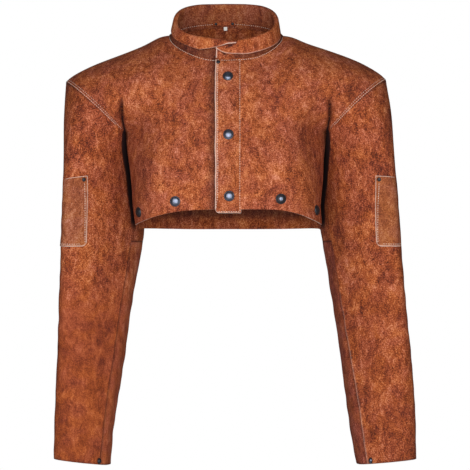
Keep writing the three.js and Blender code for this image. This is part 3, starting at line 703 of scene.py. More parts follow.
# %% Fronts and back
LAYER = 2.6
FRONT_LAP = 16
LAP_FADE = (22, 64)
LAP_SHARE = NECK_SHARE * math.asin(FRONT_LAP / NECK["half_width"]) / NECK_SIDE
FOLD_FADE = (0.4, 0.6)
FOLD_EDGE = (0.9, 0.99)
FRONT_FOLDS = [
    {"x": 168, "top": -92, "bottom": -190, "width": 9, "depth": -7},
    {"x": 186, "top": -80, "bottom": -165, "width": 13, "depth": 4},
    {"x": 118, "top": -170, "bottom": -300, "width": 26, "depth": 2.5},
]
CREASES = [
    {"x": 164.6, "top": -98, "bottom": -215, "width": 2.8, "depth": -8},
    {"x": 174, "top": -98, "bottom": -175, "width": 6, "depth": 2.5},
    {"x": 158, "top": -104, "bottom": -215, "width": 4, "depth": 2.2},
]
CREASE_FADE = (0.35, 0.85)
CREASE_DRIFT = {"low": -158, "high": -128, "inwards": 2.4}
BACK_HEM = {"drop": 5.5, "all": 1.5, "start": 0.8}
FRONT_WAVES = {"slow": (1.5, 62, 3.1), "quick": (0.7, 24, 7.7)}
BACK_WAVES = {"slow": (1.6, 70, 11.3), "quick": (0.7, 26, 5.2)}
WAVE_FADE = (4, 40)
BODY_COLUMNS = 116
BODY_ROWS = 120
BODY_CROWD = 1.35


def fold_depth(points, folds, fade):
    """How far the folds lift a point. Towards the armpit they all drift inwards a little."""
    z = points[..., 2]
    drift = CREASE_DRIFT["inwards"] * (1 - smooth(CREASE_DRIFT["low"], CREASE_DRIFT["high"], z))
    x = np.abs(points[..., 0]) + drift
    total = np.zeros(x.shape)
    for fold in folds:
        low, high = fold["bottom"], fold["top"]
        rise = smooth(low, mix(low, high, fade[0]), z)
        fall = 1 - smooth(mix(low, high, fade[1]), high, z)
        total += fold["depth"] * rise * fall * np.exp(-(((x - fold["x"]) / fold["width"]) ** 2))
    return total


def body_rows():
    upper = ARMHOLE_SHARE * np.linspace(0, 1, BODY_ROWS // 2) ** BODY_CROWD
    return np.concatenate([upper, np.linspace(ARMHOLE_SHARE, 1, BODY_ROWS // 2)[1:]])


def body_waves(skin, waves, shift=0):
    """Slow and quick waves that fade out at the seams. The shift changes the seed of the slow ones."""
    height, size, seed = waves["slow"]
    slow = height * ripple(skin.points, size, seed + shift)
    height, size, seed = waves["quick"]
    quick = height * ripple(skin.points, size, seed)
    return (slow + quick) * smooth(*WAVE_FADE, skin.distance(["left", "right", "top"]))


def front_skin(side):
    us = np.linspace(-LAP_SHARE, 1, BODY_COLUMNS)
    skin = Skin(us, body_rows(), lambda u, v: sided(u, v, True, side), -side)
    sink = 0 if side > 0 else -LAYER * (1 - smooth(*LAP_FADE, -skin.points[..., 0]))
    free = 1 - smooth(*FOLD_EDGE, skin.us)
    skin.push(fold_depth(skin.points, FRONT_FOLDS, FOLD_FADE) * free + sink)
    creases = fold_depth(skin.points, CREASES, CREASE_FADE) * free
    return skin.push(body_waves(skin, FRONT_WAVES, side) + creases)


def back_skin():
    half = np.linspace(0, 1, BODY_COLUMNS)
    us = np.concatenate([-half[:0:-1], half])

    def surface(u, v):
        low = smooth(BACK_HEM["start"], 1, v)
        drop = BACK_HEM["drop"] * u**2 * low + BACK_HEM["all"] * low
        return sided(u, v, False, 1) - stack(0, 0, drop)

    skin = Skin(us, body_rows(), surface, 1)
    return skin.push(body_waves(skin, BACK_WAVES))


left_front = front_skin(1)
right_front = front_skin(-1)
back = back_skin()
print("points", left_front.points.shape, right_front.points.shape, back.points.shape)

# %% [markdown]
# ## Body panels
# The hides get painted shade along their seams, in the creases and beside the placket, and on the
# inside of the back a painted shadow under the front hem. The side seams of the fronts show a little
# of the pale core. `near` turns the distance from an edge into such a mark.

# %% Body hides
# Painted shade: along the seams, in the crease up from the armpit, beside the placket, and as the shadow
# of the front hem on the inside of the back.
SEAM_DARK = {"dark": 0.55, "body": 9, "sleeve": 6}
CREASE_SHADE = [{"x": 164.3, "top": -99, "bottom": -215, "width": 2.1, "depth": 1.6}]
PLACKET_SHADE = {"x": (-34, -17), "dark": 0.8}
SIDE_PALE = {"pale": 0.2, "width": 3}
HEM_DARK = {"clear": -300, "dark": -285, "fade": (-220, -120), "shade": 0.85}


def near(skin, edges, width):
    """1 at the named edges, 0 from a given way in."""
    return 1 - smooth(0, width, skin.distance(edges))


# Painted shade along seams.
def painted_seam_shade(skin, edges, width):
    return SEAM_DARK["dark"] * near(skin, edges, width)


def crease_shade(points):
    return fold_depth(points, CREASE_SHADE, CREASE_FADE)


def body_marks(skin, seams):
    """Where a body panel has painted shade and where it is pale."""
    x, z = skin.points[..., 0], skin.points[..., 2]
    worn = painted_seam_shade(skin, seams, SEAM_DARK["body"])
    if skin is back:
        low = smooth(HEM_DARK["clear"], HEM_DARK["dark"], z) * (1 - smooth(*HEM_DARK["fade"], z))
        return {"worn": worn, "inner": HEM_DARK["shade"] * low}
    at_armhole = (skin.vs < ARMHOLE_SHARE)[:, None]
    worn = np.maximum(worn * at_armhole, crease_shade(skin.points))
    if skin is right_front:
        worn = np.maximum(worn, PLACKET_SHADE["dark"] * smooth(*PLACKET_SHADE["x"], x))
    core = SIDE_PALE["pale"] * near(skin, ["right"], SIDE_PALE["width"]) * ~at_armhole
    return {"worn": worn, "core": core}


# Each panel has a name, a skin, a slot, a solid, its seams and the finishes of its edge and inside.
BODY = [
    ("left_front", left_front, "leather", "front_left", ["right"], {}),
    ("right_front", right_front, "leather", "front_right", ["right"], {}),
    ("back_panel", back, "inner_leather", "back", ["left", "right", "top"],
     {"edge": LEATHER, "inside": INSIDE_LEATHER}),
]
for name, skin, slot, node, seams, faces in BODY:
    panel = hide(name, skin, LEATHER, **faces, **body_marks(skin, seams))
    finish_piece(panel, [node])
    print(name, len(panel.data.polygons), "faces", round(half_area(panel), 4), "m2")

# %% [markdown]
# ## Sleeves
# A sleeve is a bent tube. Each row of its table is one section: x and z of its outer and of its inner
# point as seen from the front, the y of its middle, half its depth, and how far its inner side is
# turned backwards. The outer panel goes most of the way round. The strip on the inner side is a
# panel of its own, and a gusset fills the armpit above it.

# %% Sleeve surfaces
SLEEVE_RIGHT = [
    (255.5, -75, 162, -158, 11, 80, 0), (258, -135, 156, -199, 14, 78, 27),
    (258, -200, 149, -245, 18, 72, 42), (259.5, -275, 134.5, -292, 22, 65, 52),
    (262.5, -345, 138, -345, 22, 61, 43), (266, -430, 152, -430, 16, 58, 32),
    (270, -520, 165, -520, 9, 54, 23), (272.5, -605, 178, -607, 1, 50, 16),
    (275, -675.5, 186, -686.5, -6, 47, 10),
]
SLEEVE_LEFT = [
    (255.5, -75, 162, -158, 11, 80, 0), (264, -135, 156, -199, 14, 78, 27),
    (269, -200, 151, -245, 18, 72, 42), (274, -275, 152, -292, 22, 65, 44),
    (280, -345, 160, -345, 22, 61, 38), (287, -430, 173, -430, 16, 58, 30),
    (295.5, -520, 184.5, -520, 9, 54, 22), (302, -605, 197, -607, 1, 50, 16),
    (304, -675.5, 208.5, -685.5, -6, 47, 10),
]
UNDER_SEAMS = (136 / 360, 240 / 360)
SEAM_DRIFT = {"right": (0, 5 / 360), "left": (-6 / 360, 5 / 360)}
SLEEVE_SQUARE = {"power": 0.5, "down": (0.04, 0.34), "by": (0.28, 0.4), "end": (0.4, 0.5),
                 "below": (0.45, 0.6)}
SLEEVE_TRIM = 1.0
GUSSET_END = 0.471
BOW_END = 0.2
SEAM_LIFT = {"height": 1.1, "width": 9}
SLACK_FROM = (0.01, 0.09)
SLOW_SLACK = {"stretch": (1, 1, 0.6), "height": 1.7, "size": 58, "seed": 21.0}
WRINKLES = {"stretch": (1, 1, 1.7), "slant": 0.8, "height": 1.1, "size": 34, "seed": 2.5,
            "from": (0.2, 0.4)}
SLEEVE_ROWS = 190
UPPER_COLUMNS = 110
UNDER_COLUMNS = 40


def table_column(values):
    """One column of a sleeve table, splined evenly over the share of the way down."""
    knots = np.array(values, float)
    padded = np.concatenate([knots[:1], knots, knots[-1:]])

    def at(share):
        place = np.clip(share, 0, 1) * (len(knots) - 1)
        i = np.minimum(place.astype(int), len(knots) - 2)
        t = place - i
        before, start, end, after = (padded[i + k] for k in range(4))
        leave, reach = (end - before) / 2, (after - start) / 2
        bend = 3 * (end - start) - 2 * leave - reach
        return start + leave * t + bend * t**2 + (2 * (start - end) + leave + reach) * t**3

    return at


def sleeve_surface(rows, side):
    """u goes once round from the outer side over the front, v goes down from the armhole. The outer
    part of the front is squarer than a circle."""
    columns = [table_column(values) for values in zip(*rows)]

    def surface(u, v):
        outer_x, outer_z, inner_x, inner_z, mid_y, half_depth, turn = (c(v) for c in columns)
        angle = 2 * np.pi * u
        inwards = (1 - np.cos(angle)) / 2
        free = smooth(*SLEEVE_SQUARE["below"], v)
        inner = smooth(mix(*SLEEVE_SQUARE["by"], free), mix(*SLEEVE_SQUARE["end"], free), u)
        square = smooth(*SLEEVE_SQUARE["down"], v) * (1 - inner) * (u > 0)
        forward = np.sign(np.sin(angle)) * np.abs(np.sin(angle)) ** mix(1, SLEEVE_SQUARE["power"], square)
        y = mid_y - half_depth * forward + turn * (2 * inwards - 1)
        bow = np.maximum(np.sin(angle), 0) * (1 - smooth(0, BOW_END, v))
        trimmed = outer_x - SLEEVE_TRIM * smooth(0, BOW_END, v)
        x = mix(trimmed, inner_x, inwards) + ARMHOLE_BOW[0] * bow
        return settled(stack(side * x, y, mix(outer_z, inner_z, inwards) + ARMHOLE_BOW[1] * bow))

    return surface


def sleeve_waves(points, v, side):
    """Slack of the sleeve: slow waves, and slanted wrinkles from the elbow down."""
    stretched = points * SLOW_SLACK["stretch"]
    slow = SLOW_SLACK["height"] * ripple(stretched, SLOW_SLACK["size"], SLOW_SLACK["seed"] + side)
    slanted = points * WRINKLES["stretch"] + stack(0, 0, points[..., 0] * WRINKLES["slant"])
    wrinkles = WRINKLES["height"] * ripple(slanted, WRINKLES["size"], WRINKLES["seed"] + side)
    return smooth(*SLACK_FROM, v) * (slow + wrinkles * smooth(*WRINKLES["from"], v))


def seam_drift(u, v, drift):
    """Turns the front seam of the under panel: by one drift above the gusset's end, by one at the cuff."""
    front, rear = UNDER_SEAMS
    share = np.where(u < front, (u - rear + 1) / (front - rear + 1), (rear - u) / (rear - front))
    return u - mix(*drift, smooth(GUSSET_END, 1, v)) * share**2


def sleeve_skin(rows, side, us, vs, drift):
    surface = sleeve_surface(rows, side)
    skin = Skin(us, vs, lambda u, v: surface(seam_drift(u, v, drift), v), side)
    return skin.push(sleeve_waves(skin.points, skin.vs[:, None], side))


def sleeve_parts(rows, side, drift):
    """The three skins of a sleeve. The outer panel is lifted a little where it laps over the others."""
    front, rear = UNDER_SEAMS
    upper = np.linspace(rear - 1, front, UPPER_COLUMNS)
    under = np.linspace(front, rear, UNDER_COLUMNS)
    gusset_rows = int(SLEEVE_ROWS * GUSSET_END)
    under_rows = np.linspace(GUSSET_END, 1, SLEEVE_ROWS - gusset_rows)
    outer = sleeve_skin(rows, side, upper, np.linspace(0, 1, SLEEVE_ROWS), drift)
    lap = near(outer, ["left", "right"], SEAM_LIFT["width"])
    return {
        "upper": outer.push(SEAM_LIFT["height"] * lap),
        "gusset": sleeve_skin(rows, side, under, np.linspace(0, GUSSET_END, gusset_rows), drift),
        "under": sleeve_skin(rows, side, under, under_rows, drift),
    }


SLEEVES = {
    "right": sleeve_parts(SLEEVE_RIGHT, -1, SEAM_DRIFT["right"]),
    "left": sleeve_parts(SLEEVE_LEFT, 1, SEAM_DRIFT["left"]),
}
print("sleeves", {name: list(parts) for name, parts in SLEEVES.items()})

# %% [markdown]
# ## Sleeve panels
# The sleeves get their marks in the same way as the body. Painted shade makes them darkest where
# they lie against the side of the body, under the armhole laps and at the level seam under the gusset,
# and darker along the cuffs. The long front seam is a painted dark line on the right sleeve, with a
# dark slit near the cuff, and a pale edge on the left one.

# %% Sleeve hides
GAP_SHADE = {"full": 8.5, "clear": 10.5, "low": -318, "soft": 20, "dark": 1.25}
GAP_OPENS = {"from": -190, "to": -136, "least": 0.12}
RUBBED = {"right": 0.55, "left": 0.12}
RUBBED_BELOW = (-470, -330)
SLEEVE_LOOK = {
    "upper": {"slot": "leather", "seams": ["left"], "sharp": "top", "width": 7},
    "gusset": {"slot": "inner_leather", "seams": ["left", "right"], "sharp": "bottom", "width": 2.4},
    "under": {"slot": "inner_leather", "seams": ["left", "right"], "sharp": "top", "width": 2.4},
}
# Painted shade along one sharp edge of each panel and along the cuff, and the front seam's dark line and
# slit on the right sleeve.
SHARP_DARK = 0.9
CUFF_DARK = {"dark": 0.7, "width": 4}
FRONT_SEAM = {
    "right": {"core": 0.0, "line": 0.8, "slit": 1.0},
    "left": {"core": 0.35, "line": 0.0, "slit": 0.0},
}
FRONT_SEAM_WIDTH = {"core": 2.8, "line": 2.6, "slit": 4}
CORE_FROM = (0.55, 0.7)
SLIT_FROM = (0.93, 0.96)
# The under panels take the lighter copy on the right sleeve and the darker plum copy on the left: painted
# light and shade.
UNDER_LEATHER = {"right": BRIGHTENED_UNDER_SUEDE, "left": SHADED_PLUM_LEATHER}


def gap_shade(points):
    """Painted shade where the sleeve lies close against the side of the body."""
    x, z = np.abs(points[..., 0]), points[..., 2]
    side_x = np.interp(-z, [-row[2] for row in SIDE_SEAM], [row[0] for row in SIDE_SEAM])
    side_x = side_x + np.where(points[..., 0] > 0, hem_shift(z), 0)
    width = mix(1, GAP_OPENS["least"], smooth(GAP_OPENS["from"], GAP_OPENS["to"], z))
    close = 1 - smooth(GAP_SHADE["full"] * width, GAP_SHADE["clear"] * width, x - side_x)
    high = smooth(GAP_SHADE["low"], GAP_SHADE["low"] + GAP_SHADE["soft"], z)
    return GAP_SHADE["dark"] * close * high


def sleeve_marks(name, part, skin):
    """Where a sleeve panel has painted shade, is rubbed smooth or is pale."""
    look = SLEEVE_LOOK[part]
    shades = [
        painted_seam_shade(skin, look["seams"], SEAM_DARK["sleeve"]),
        gap_shade(skin.points),
        SHARP_DARK * near(skin, [look["sharp"]], look["width"]),
    ]
    if part != "gusset":
        shades.append(CUFF_DARK["dark"] * near(skin, ["bottom"], CUFF_DARK["width"]))
    core = np.zeros(skin.points.shape[:2])
    if part == "upper":
        v = skin.vs[:, None]
        seam = {mark: strength * near(skin, ["right"], FRONT_SEAM_WIDTH[mark])
                for mark, strength in FRONT_SEAM[name].items()}
        shades += [seam["line"] * (v > GUSSET_END), seam["slit"] * smooth(*SLIT_FROM, v)]
        core = seam["core"] * smooth(*CORE_FROM, v)
    soft = RUBBED[name] * (1 - smooth(*RUBBED_BELOW, skin.points[..., 2]))
    return {"worn": np.max(shades, axis=0), "soft": soft, "core": core}


for name, parts in SLEEVES.items():
    for part, skin in parts.items():
        leather = UNDER_LEATHER[name] if part == "under" else SLEEVE_LEATHER
        edge = None if part == "upper" else leather
        panel = hide(f"{name}_sleeve_{part}", skin, leather, edge=edge, **sleeve_marks(name, part, skin))
        finish_piece(panel, [f"sleeve_{name}_{part}"])
        print(panel.name, len(panel.data.polygons), "faces", round(half_area(panel), 4), "m2")

# %% [markdown]
# ## Collar
# The collar is one strip: it stands up from the neckline, rolls over and falls outside. Its ends
# are cut back, and the right end lies over the left one.

# %% Collar
COLLAR = {"base": -4, "front": 24.3, "back": 31, "lean": 7.5, "lean_side": 5.5, "lean_fade": 6,
          "roll": 2.8, "fall": 16.6, "fall_side": 2.6, "fall_left": 3.2, "sag_left": 5, "flare": 3.5,
          "corner": 3}
COLLAR_NEST = {"step": 3, "start": 318, "end": 344}
COLLAR_ENDS = {"left": 55, "right": 46, "right_start": 12, "least": 0.04}
RIGHT_END = {"length": 26, "roll": 0.4}
LEFT_END = {"length": 40, "height": 0.66}
COLLAR_WAVES = {"height": 0.5, "size": 30, "seed": 4.4, "fade": 10}
COLLAR_COLUMNS = 240
COLLAR_ROWS = {"stand": 16, "roll": 8, "fall": 12}
LAP_ANGLE = math.asin(FRONT_LAP / NECK["half_width"])
ANGLE_STEP = 0.01


def collar_surface(u, v):
    """u along the neckline from the left end, v up the stand, over the roll and down the fall."""
    angle = mix(-LAP_ANGLE, 2 * math.pi + LAP_ANGLE, u)
    base = neckline(angle)
    ahead = neckline(angle + ANGLE_STEP) - base
    ahead[..., 2] = 0
    ahead /= np.linalg.norm(ahead, axis=-1, keepdims=True)
    out = stack(ahead[..., 1], -ahead[..., 0], 0)
    nest = COLLAR_NEST["step"] * smooth(COLLAR_NEST["start"], COLLAR_NEST["end"], np.degrees(angle))
    to_left = NECK["half_width"] * (angle + LAP_ANGLE)
    to_right = NECK["half_width"] * (2 * math.pi + LAP_ANGLE - angle)
    from_left = 1 - (1 - np.clip(to_left / COLLAR_ENDS["left"], 0, 1)) ** 2
    from_right = np.clip((to_right - COLLAR_ENDS["right_start"]) / COLLAR_ENDS["right"], 0, 1)
    fall_share = np.maximum(from_left * from_right, COLLAR_ENDS["least"])
    roll = COLLAR["roll"] + nest
    rise = roll * mix(RIGHT_END["roll"], 1, smooth(0, RIGHT_END["length"], to_right))
    share = v * 3 - np.minimum(np.floor(v * 3), 2)
    sideways = np.sin(angle)
    lean = COLLAR["lean"] + COLLAR["lean_side"] * sideways ** COLLAR["lean_fade"]
    top = mix(COLLAR["front"], COLLAR["back"], (1 - np.cos(angle)) / 2)
    top = top + COLLAR["corner"] * np.where(np.cos(angle) < 0, np.sin(2 * angle) ** 2, 0)
    top = top * mix(LEFT_END["height"], 1, smooth(0, LEFT_END["length"], to_left))
    on_left = np.where(angle < np.pi, 1 + np.cos(angle), 0) / 2
    drop = (COLLAR["fall"] + COLLAR["fall_side"] * sideways + COLLAR["fall_left"] * on_left) * fall_share
    slack = np.where(angle < np.pi / 2, np.maximum(np.sin(2 * angle), 0), 0)
    foot = COLLAR["base"] - COLLAR["sag_left"] * slack
    start = -lean - nest
    stand = (-lean * share - nest, mix(foot, top, share))
    over = (start + roll * (1 - np.cos(np.pi * share)), top + rise * np.sin(np.pi * share))
    fall = (start + 2 * roll + COLLAR["flare"] * share * fall_share, top - drop * share)
    part = [v < 1 / 3, v < 2 / 3]
    reach = np.select(part, [stand[0], over[0]], fall[0])
    height = np.select(part, [stand[1], over[1]], fall[1])
    return base + out * reach[..., None] + stack(0, 0, height)


def collar_skin():
    rows = [np.linspace(k / 3, (k + 1) / 3, count, endpoint=False)
            for k, count in enumerate(COLLAR_ROWS.values())]
    skin = Skin(np.linspace(0, 1, COLLAR_COLUMNS), [*np.concatenate(rows), 1], collar_surface, 1)
    waves = COLLAR_WAVES["height"] * ripple(skin.points, COLLAR_WAVES["size"], COLLAR_WAVES["seed"])
    return skin.push(waves * smooth(0, COLLAR_WAVES["fade"], skin.distance(["left", "right", "top"])))


collar = collar_skin()
print("collar", collar.points.shape)

# %% [markdown]
# ## Collar strip
# Painted shade darkens the stand, which lies in the shade of the fall, and the inside of the back of
# the neck with its roll. Two slanted spots are painted shadows where the right end lies over the left
# one. The cut edge is pale at the left end, and along the fall as far as a table of places and
# strengths says.

# %% Collar hide
STAND_END = 0.3
ROLL_END = 0.6
STAND_SHADE = 0.75
BACK_SHADE = 0.55
STAND_LIT = (0.03, 0.055)
ROLL_SHADE = {"dark": 0.5, "from": 0.1, "to": 0.6}
# Painted shadows under the overlapping ends: place, slope, length, height and darkness.
END_SPOT = {"x": 7.3, "z": -21.3, "slope": 0.46, "length": 7, "height": 2.6, "dark": 1.2}
STAND_SPOT = {"x": -2.5, "z": -34, "slope": -0.5, "length": 5, "height": 2.4, "dark": 1.2}
SPOT_REACH = 0.12
PALE_WIDTH = {"end": 2.7, "fall": 1.5}
FALL_PALE = [(0, 0.9), (0.05, 0.5), (0.3, 0.3), (0.5, 0), (0.93, 0.05), (0.955, 0.2), (0.972, 1), (1, 1)]


def collar_spot(skin, x, z, slope, length, height, dark):
    """A slanted painted shadow near the left end, where the other end lies over it."""
    across = skin.points[..., 0] - x
    up = skin.points[..., 2] - z - slope * across
    spot = np.exp(-((across / length) ** 2) - (up / height) ** 2)
    return dark * spot * (skin.us < SPOT_REACH)


def collar_marks(skin):
    """Where the collar has painted shade on its two faces and where it is pale."""
    standing = (skin.vs < STAND_END)[:, None]
    rolled = ((skin.vs > STAND_END) & (skin.vs < ROLL_END))[:, None]
    backwards = smooth(ROLL_SHADE["from"], ROLL_SHADE["to"], -np.cos(2 * np.pi * skin.us))
    stand = STAND_SHADE * standing * smooth(*STAND_LIT, skin.us)
    behind = backwards * (BACK_SHADE * standing + ROLL_SHADE["dark"] * rolled)
    fall_edge = np.interp(skin.us, *zip(*FALL_PALE)) * near(skin, ["bottom"], PALE_WIDTH["fall"])
    return {
        "worn": np.maximum(stand, collar_spot(skin, **STAND_SPOT)),
        "inner": np.maximum(behind, collar_spot(skin, **END_SPOT)),
        "core": np.maximum(near(skin, ["left"], PALE_WIDTH["end"]), fall_edge),
    }


collar_piece = hide("collar_strip", collar, STAND_LEATHER, inside=COLLAR_LEATHER, pale=True,
                    **collar_marks(collar))
finish_piece(collar_piece, ["collar"])
print(collar_piece.name, round(half_area(collar_piece), 4), "m2")

# %% [markdown]
# ## Placket and arm patches
# The placket is a strip that lies on the left front and hangs a little below its hem. Each sleeve
# has a patch on the front of its outer side. Four angles round the sleeve place its corners: top
# outer, top inner, low outer and low inner.

# %% Strips and patches
PLACKET = {"free": -17, "sewn": 24, "drop": 6, "drop_from": 0.8, "top": 0.004, "corner": 7,
           "sink": 3.4, "sink_width": 6, "pale": 3.0, "farthest": 0.4, "columns": 22, "rows": 110}
WOBBLE = {"height": 1.3, "size": 0.12, "seed": 6.3}
ARM_PATCH = {"top": -226, "bottom": -338, "lift": 2.1, "outer_lift": 1.2, "width": 48, "corner": 7,
             "pale": 1.8, "columns": 26, "rows": 50}
PATCH_ANGLES = {"right": (24, 71.5, 8, 69), "left": (20, 63, 14, 69.5)}
PATCH_SLANT = {"right": 6, "left": 2.5}
PATCH_BOW = {"right": -2.3, "left": 0}
LIFT_BY = 0.35
HALVINGS = 26


def halved(inside, low, high):
    """The place between low and high where a test changes, for whole arrays."""
    for _ in range(HALVINGS):
        middle = (low + high) / 2
        test = inside(middle)
        low, high = np.where(test, middle, low), np.where(test, high, middle)
    return low


def corner_rise(way, radius):
    """How far a rounded corner rises above its edge, at a way in from its side."""
    corner = np.maximum(0, 1 - way / radius)
    return radius * (1 - np.sqrt(np.maximum(0, 1 - corner**2)))


def placket_surface(u, v):
    """The strip follows the left front at each x. Its free edge wobbles, and its lower end drops."""
    down = mix(PLACKET["top"], 1, v)
    wobble = WOBBLE["height"] * ripple(stack(0, 0, down), WOBBLE["size"], WOBBLE["seed"])
    x = mix(PLACKET["free"] + wobble, PLACKET["sewn"], u)
    across = halved(lambda at: left_front.at(at, down)[0][..., 0] < x,
                    np.full(u.shape, -LAP_SHARE), np.full(u.shape, PLACKET["farthest"]))
    point = left_front.at(across, down)[0]
    point[..., 0] = x
    drop = PLACKET["drop"] - corner_rise(x - PLACKET["free"], PLACKET["corner"])
    return point - stack(0, 0, drop * smooth(PLACKET["drop_from"], 1, v))


def patch_surface(rows, side, angles, slant, bow):
    """The patch slopes down at the outer end of its top, and its inner lower corner is rounded."""
    skin_at = sleeve_surface(rows, side)
    top_outer, top_inner, low_outer, low_inner = (angle / 360 for angle in angles)

    def surface(u, v):
        inner = mix(top_inner, low_inner, v) + bow / 360 * np.sin(np.pi * v)
        across = mix(mix(top_outer, low_outer, v), inner, u)
        low = ARM_PATCH["bottom"] + corner_rise((1 - u) * ARM_PATCH["width"], ARM_PATCH["corner"])
        height = mix(ARM_PATCH["top"] - slant * (1 - u), low, v)
        down = halved(lambda at: skin_at(across, at)[..., 2] > height, np.zeros(u.shape), np.ones(u.shape))
        point = skin_at(across, down)
        normal = normals_of(point, side)
        return point + normal * sleeve_waves(point, down, side)[..., None]

    return surface


def shares(count):
    """Even steps from 0 to 1, as many as asked."""
    return np.linspace(0, 1, count)


placket = Skin(shares(PLACKET["columns"]), shares(PLACKET["rows"]), placket_surface, -1)
placket.push(LAYER - PLACKET["sink"] * near(placket, ["right", "top"], PLACKET["sink_width"]))
placket_piece = hide("placket_strip", placket, PLACKET_LEATHER, pale=True,
                     core=near(placket, ["left"], PLACKET["pale"]))
finish_piece(placket_piece, ["placket"])
PATCHES = {}
for name, rows, side in (("right", SLEEVE_RIGHT, -1), ("left", SLEEVE_LEFT, 1)):
    surface = patch_surface(rows, side, PATCH_ANGLES[name], PATCH_SLANT[name], PATCH_BOW[name])
    patch = Skin(shares(ARM_PATCH["columns"]), shares(ARM_PATCH["rows"]), surface, side)
    lift = mix(ARM_PATCH["outer_lift"], ARM_PATCH["lift"], smooth(0, LIFT_BY, patch.us))
    PATCHES[name] = patch.push(np.broadcast_to(lift, patch.points.shape[:2]))
    piece = hide(f"{name}_arm_patch", patch, PATCH_LEATHER, pale=True,
                 core=near(patch, ["right", "bottom"], ARM_PATCH["pale"]))
    finish_piece(piece, [f"arm_patch_{name}"])
print("placket", round(half_area(placket_piece), 5), "m2, patches", list(PATCHES))

# %% [markdown]
# ## Hanger strip and tab in the neck
# Both are small upright sheets at the foot of the collar, on the inside of its back.

# %% Inside of the neck
HANGER = {"x": -3, "width": 36, "height": 7, "rise": 2.8, "lift": 3.4}
NECK_TAB = {"x": -1, "width": 5.6, "height": 6, "rise": -5.5, "lift": 4.4}
TAPE_THICK = 0.8
NECK_COLUMNS = 14
NECK_ROWS = 8


def inside_neck(size):
    """An upright sheet of a given width and height that follows the neckline."""

    def surface(u, v):
        base = neckline(np.pi - np.arcsin((size["x"] + size["width"] * (u - 0.5)) / NECK["half_width"]))
        up = size["rise"] - size["height"] * (v - 0.5)
        lean = np.maximum(up, 0) * COLLAR["lean"] / COLLAR["back"]
        return base + stack(0, -size["lift"] - lean, up)

    return Skin(shares(NECK_COLUMNS), shares(NECK_ROWS), surface, -1)


hanger = inside_neck(HANGER)
tab = inside_neck(NECK_TAB)
hanger_piece = hide("neck_hanger", hanger, INNER_LEATHER, edge=INNER_LEATHER)
finish_piece(hanger_piece, ["hanger"])
finish_piece(hide("woven_tab", tab, TAPE, thick=TAPE_THICK, edge=TAPE), ["neck_tab"])
print("hanger and tab at y", hanger.points[..., 1].mean().round(1), tab.points[..., 1].mean().round(1))

# %% [markdown]
# ## Armhole laps
# Where the body meets a sleeve, its edge lies on top of the sleeve and is sewn down twice. Each lap
# is a thin strip along the armhole. It rises out of the panel, so that only its outer edge shows.

# %% Laps
LAP = {"width": 0.06, "low": -0.6, "high": 1.7, "rise": 0.3, "thick": 1.2, "top": 0.12, "bottom": 0.82,
       "rows": 110}
LAP_ACROSS = [0, 0.1, 0.2, 0.3, 0.45, 0.6, 0.8, 1.0, 1.1, 1.2]
# Painted shadow along the outer edge of each lap; the front laps also carry the crease's painted shade.
LAP_EDGE = {"dark": 1.2, "width": 1.8}


def armhole_lap(body, side):
    """A strip along the armhole of a panel, at its right edge (1) or at its left edge (-1)."""

    def surface(across, share):
        u = side * (1 - LAP["width"] * (1 - across))
        point, normal = body.at(u, share * ARMHOLE_SHARE)
        lift = mix(LAP["low"], LAP["high"], smooth(0, LAP["rise"], across))
        return point + normal * lift[..., None]

    down = np.linspace(LAP["top"], LAP["bottom"], LAP["rows"])
    return Skin(LAP_ACROSS, down, surface, body.facing * side)


LAPS = {
    "left_front_lap": armhole_lap(left_front, 1),
    "right_front_lap": armhole_lap(right_front, 1),
    "left_back_lap": armhole_lap(back, 1),
    "right_back_lap": armhole_lap(back, -1),
}
for name, skin in LAPS.items():
    shade = crease_shade(skin.points) if "front" in name else np.zeros(skin.points.shape[:2])
    shade = np.maximum(shade, LAP_EDGE["dark"] * near(skin, ["right"], LAP_EDGE["width"]))
    finish_piece(hide(name, skin, LEATHER, thick=LAP["thick"], edge=LEATHER, worn=shade))
print("laps", list(LAPS))

# %% [markdown]
# ## Stitches
# A row of stitches is a line on a skin, a fixed way in from one of its edges. Each stitch is a
# small sphere, stretched along the line and half sunk into the leather. One table lists all rows:
# group, skin, height above the skin, edge, way in from it, and the span of the edge that is sewn.

# %% Stitch rows
STITCH = {"pitch": 3.8, "length": 2.9, "radius": 0.52, "probe": 0.5}
SPHERE = {"u_segments": 6, "v_segments": 4, "radius": 1}
NECK_END = (NECK_SHARE + LAP_SHARE) / (1 + LAP_SHARE)
PANEL_FACE = THICK / 2
COLLAR_INSIDE = 0.25 - PANEL_FACE
LAP_FACE = LAP["thick"] / 2
WHOLE = (0.0, 1.0)
STITCH_ROWS = [
    ("neck_stitches", left_front, PANEL_FACE, "top", 3.6, (0.1, NECK_END)),
    ("neck_stitches", right_front, PANEL_FACE, "top", 3.6, (0.02, NECK_END)),
    ("neck_stitches", collar, COLLAR_INSIDE, "top", 6.5, (0.3, 0.7)),
    ("back_stitches", back, PANEL_FACE, "top", 3.6, (0.5 - NECK_SHARE / 2, 0.5 + NECK_SHARE / 2)),
    ("back_stitches", back, PANEL_FACE, "top", 3.0, (0.01, 0.29)),
    ("back_stitches", back, PANEL_FACE, "top", 7.0, (0.01, 0.29)),
    ("back_stitches", back, PANEL_FACE, "top", 3.0, (0.71, 0.99)),
    ("back_stitches", back, PANEL_FACE, "top", 7.0, (0.71, 0.99)),
    ("placket_stitches", placket, PANEL_FACE, "left", 4.2, (0.005, 0.975)),
    ("placket_stitches", placket, PANEL_FACE, "right", 3.0, (0.005, 0.985)),
    ("placket_stitches", placket, PANEL_FACE, "bottom", 2.4, (0.12, 0.96)),
    ("placket_stitches", placket, PANEL_FACE, "top", 4.5, (0.2, 1.0)),
]
PATCH_ROWS = [("right", 6.0, (0.1, 0.95)), ("bottom", 4.0, (0.05, 0.84))]
